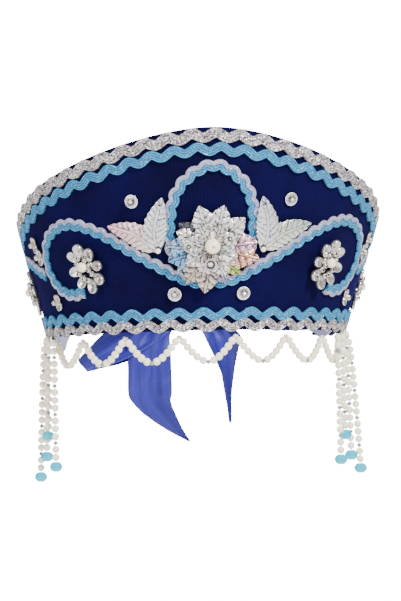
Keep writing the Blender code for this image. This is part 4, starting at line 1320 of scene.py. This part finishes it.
ribbon = {
    "width": 0.0270, "wall": 0.0004, "columns": 36, "knotWidth": 0.0140, "knotDepth": 0.0120,
    "knotHeight": 0.0170, "knotRise": 0.0220, "knotBack": 0.0050, "cadWall": 0.0010,
    "knotBite": 0.42,                           # where ties and loops start, in knot widths from its middle
    "leftTie": 0.0200, "rightTie": 0.0155, "tieStart": 114.0, "tiePinch": 0.55,
    "leftDrop": 0.0749, "rightDrop": 0.0640, "tuck": 0.0012,
    "tieSteps": 60, "tailSteps": 56, "loopSteps": 84, "pleats": 3, "loopRipple": 0.0003, "tailRipple": 0.0005,
    # across and width in ribbon widths, down in drops, turn in degrees, share of the width kept at the cut
    "leftTail": (
        (-0.16, 0.00, 0.26, 0, 1), (-0.52, 0.06, 0.62, 4, 1), (-0.80, 0.14, 0.88, 6, 1),
        (-0.86, 0.25, 1.00, 6, 1), (-0.86, 0.42, 1.00, 4, 1), (-0.86, 0.60, 1.00, 0, 1),
        (-0.83, 0.68, 0.88, -4, 0.88), (-0.62, 0.79, 0.69, -8, 0.69), (-0.33, 0.90, 0.39, -12, 0.39),
        (0.01, 1.00, 0.04, -14, 0.04)),
    "rightTail": (
        (0.16, 0.00, 0.26, 0, 1), (0.55, 0.07, 0.66, 4, 1), (0.81, 0.17, 0.92, 15, 1),
        (0.86, 0.31, 0.92, 34, 1), (0.885, 0.45, 0.85, 47, 0.95), (0.92, 0.61, 0.70, 58, 0.8),
        (0.935, 0.81, 0.42, 70, 0.45), (0.96, 1.00, 0.06, 70, 0.06)),
    "pleatDepth": 0.0022, "leftReach": 0.0735, "rightReach": 0.0660, "leftTwist": 1.25, "rightTwist": 0.0,
    "leftDroop": math.radians(29), "rightDroop": math.radians(-14),
    # out in reaches, back and width in ribbon widths
    "loop": ((0.00, 0.20, 0.44), (0.22, 0.34, 0.74), (0.50, 0.42, 0.94), (0.78, 0.38, 1.00),
             (0.95, 0.27, 1.00), (1.00, 0.15, 1.00), (0.93, 0.06, 1.00), (0.72, 0.02, 0.98),
             (0.45, 0.02, 0.92), (0.20, 0.04, 0.72), (0.00, 0.06, 0.44)),
}


def knotCentre():
    return Vector((ribbon["knotRise"] * math.tan(band["lean"]), band["rimRadius"] + ribbon["knotBack"],
                   ribbon["knotRise"]))


def smoothRows(rows, steps):                    # rows of numbers, with a smooth curve through each column
    made = []
    for step in range(steps + 1):
        at = (len(rows) - 1) * step / steps
        first = min(int(at), len(rows) - 2)
        t = at - first
        before, start = rows[max(first - 1, 0)], rows[first]
        end, after = rows[first + 1], rows[min(first + 2, len(rows) - 1)]
        made.append([0.5 * (2 * b + (c - a) * t + (2 * a - 5 * b + 4 * c - d) * t ** 2
                            + (3 * b - a - 3 * c + d) * t ** 3)
                     for a, b, c, d in zip(before, start, end, after)])
    return made


def addRibbon(name, stations, waves, node):
    # stations: (centre, half width vector, normal, share of the ribbon's width kept by its cut)
    points, places = [], []
    columns, pleats = ribbon["columns"], ribbon["pleats"]
    along = 0.0
    for index, (centre, half, normal, kept) in enumerate(stations):
        if index:
            along += (centre - stations[index - 1][0]).length
        span = 2 * half.length
        fullness = max(ribbon["width"] * kept / max(span, 0.0005), 1.0)
        depth = min(span / (math.pi * pleats) * 2 * math.sqrt(fullness - 1), ribbon["pleatDepth"])
        for column in range(columns + 1):
            across = 2 * column / columns - 1
            fold = depth * math.cos(pleats * math.pi * (across + 1) / 2 + 0.35 * math.sin(3 * across))
            ripple = waves * math.sin(2.3 * across + along * 95) * (1 - 0.5 * across)
            points.append(centre + half * across + normal.normalized() * (fold + ripple))
            places.append((along, across * ribbon["width"] * kept / 2))
    faces = []
    for row in range(len(stations) - 1):
        for column in range(columns):
            corner = row * (columns + 1) + column
            faces.append((corner, corner + 1, corner + columns + 2, corner + columns + 1))
    piece = addMesh(name, points, faces, [satin])
    layCloth(piece, places)
    wall = piece.modifiers.new("wall", "SOLIDIFY")
    wall.thickness = ribbon["wall"]
    wall.offset = 0.0
    plainMesh(piece)
    turnOutward(piece.data)
    finish(piece, "blue_satin", node)
    return piece, along


def tieStations(side, rise):
    knot = knotCentre()
    seat = -(band["velvetWall"] + band["liningWall"] + ribbon["cadWall"] / 2 + 2 * band["gap"])
    radius = wallRadius(knot.z) + seat * math.cos(band["flare"])
    end = math.degrees(math.asin(ribbon["knotWidth"] * ribbon["knotBite"] / radius))
    stations = []
    for step in range(ribbon["tieSteps"] + 1):
        angle = ribbon["tieStart"] + (180.0 - end - ribbon["tieStart"]) * step / ribbon["tieSteps"]
        free = max(0.0, (angle - band["halfWrap"]) / (180.0 - end - band["halfWrap"]))
        height = rise + (knot.z - rise) * free ** 2
        width = ribbon["width"] * (1.0 - ribbon["tiePinch"] * free ** 3)
        reach = width / 2 * math.cos(band["flare"])
        low = onWall(side * angle, height - reach, seat)
        high = onWall(side * angle, height + reach, seat)
        stations.append(((low + high) / 2, (high - low) / 2, wallNormal(side * angle), 1.0))
    return stations


def tailStations(rows, drop):
    knot = knotCentre()
    top = knot.z - ribbon["knotHeight"] / 2 + ribbon["tuck"]
    stations = []
    for across, down, width, turn, kept in smoothRows(rows, ribbon["tailSteps"]):
        turn = math.radians(turn)
        centre = Vector((knot.x + across * ribbon["width"], knot.y - ribbon["knotDepth"] / 4,
                         top - down * (drop + ribbon["tuck"])))
        half = Vector((math.cos(turn), math.sin(turn), 0.0)) * max(width, 0.02) * ribbon["width"] / 2
        stations.append((centre, half, Vector((math.sin(turn), -math.cos(turn), 0.0)), max(kept, 0.03)))
    return stations


def loopStations(side, droop, reach, twist):
    knot = knotCentre()
    out = Vector((side * math.cos(droop), 0.0, -math.sin(droop)))
    across = Vector((side * math.sin(droop), 0.0, math.cos(droop)))
    start = ribbon["knotWidth"] * ribbon["knotBite"] / math.cos(droop)
    rows = smoothRows(ribbon["loop"], ribbon["loopSteps"])
    centres = [knot + out * (start + row[0] * (reach - start))
               + Vector((0, row[1] * ribbon["width"], 0)) for row in rows]
    stations = []
    for index, row in enumerate(rows):
        run = centres[min(index + 1, len(rows) - 1)] - centres[max(index - 1, 0)]
        turn = twist * row[0] ** 1.5
        half = (across * math.cos(turn) + Vector((0, math.sin(turn), 0))) * row[2] * ribbon["width"] / 2
        stations.append((centres[index], half, run.cross(half), 1.0))
    return stations


def addKnot():
    knot = knotCentre()
    rings, sides = 17, 48
    points = []
    for ring in range(rings):
        up = ring / (rings - 1) * 2 - 1
        size = 1 - 0.42 * abs(up) ** 3.2
        for index in range(sides):
            turn = 2 * math.pi * index / sides
            groove = 1 + 0.055 * math.cos(6 * turn + 1.4 * up) + 0.03 * math.cos(11 * turn - 2.2 * up)
            points.append(knot + Vector((math.cos(turn) * size * groove * ribbon["knotWidth"] / 2,
                                         math.sin(turn) * size * groove * ribbon["knotDepth"] / 2,
                                         up * ribbon["knotHeight"] / 2)))
    piece = closedMesh("bowKnot", points, ringFaces(rings, sides), satin)
    layCloth(piece, [(ring * 0.001, index * 0.0009) for ring in range(rings) for index in range(sides)])
    finish(piece, "blue_satin", "bow_knot")


def addRibbons():
    addKnot()
    for side, word, key in ((-1, "Left", "left"), (1, "Right", "right")):
        stations = tieStations(side, ribbon[key + "Tie"])
        tie, length = addRibbon("ribbonTie" + word, stations, 0.0, "ribbon_tie_" + key)
        stations = loopStations(side, ribbon[key + "Droop"], ribbon[key + "Reach"], ribbon[key + "Twist"])
        loop, length = addRibbon("bowLoop" + word, stations, ribbon["loopRipple"], "bow_loop_" + key)
        stations = tailStations(ribbon[key + "Tail"], ribbon[key + "Drop"])
        tail, length = addRibbon("ribbonTail" + word, stations, ribbon["tailRipple"], "ribbon_tail_" + key)
        kept = sum(station[3] for station in stations) / len(stations)
        ribbon["width"] * length * kept


addRibbons()
for helper in forms.values():
    bpy.data.objects.remove(helper, do_unlink=True)
print("ribbons tied")


# Floor and light

studio = {
    "floor": -1.0, "floorReach": 9.0, "floorSides": 120, "world": 0.42, "backdrop": 18.0,
    "aim": (0.0, 0.0, 0.03),
    # name, place, width, watts
    "lights": (("keyLight", (0.8, -1.4, 1.1), 0.5, 66.0), ("fillLight", (-1.2, -1.1, 0.5), 1.0, 20.0),
               ("rearLight", (0.2, 1.5, 1.2), 0.9, 22.0)),
}


def addLight(name, place, width, watts):
    data = bpy.data.lights.new(name, "AREA")
    data.shape = "DISK"
    data.size = width
    data.energy = watts
    light = addObject(name, data)
    light.location = place
    light.rotation_euler = (Vector(place) - Vector(studio["aim"])).to_track_quat("Z", "Y").to_euler()


def buildStudio():
    reach, sides = studio["floorReach"], studio["floorSides"]
    turns = [math.radians(360 / sides * index) for index in range(sides)]
    corners = [(reach * math.cos(turn), reach * math.sin(turn), studio["floor"]) for turn in turns]
    pale = newMaterial("paleFloor", {
        "Base Color": (0.9, 0.9, 0.9, 1.0), "Roughness": 0.9, "Emission Color": (1.0, 1.0, 1.0, 1.0),
        "Emission Strength": 1.0}, lambda board: {})
    floor = addMesh("floor", corners, [tuple(range(sides))], [pale])
    world = bpy.data.worlds.new("studio")
    world.use_nodes = True
    world.node_tree.nodes.clear()
    board = Board(world.node_tree)
    seen = board.make("ShaderNodeLightPath")    # the backdrop is white, and the light from it is softer
    glow = seen * (studio["backdrop"] - studio["world"]) + studio["world"]
    sky = board.make("ShaderNodeBackground", None, {"Color": (1.0, 1.0, 1.0, 1.0), "Strength": glow})
    board.make("ShaderNodeOutputWorld", None, {"Surface": sky})
    bpy.context.scene.world = world
    for light in studio["lights"]:
        addLight(*light)


buildStudio()

print("done")
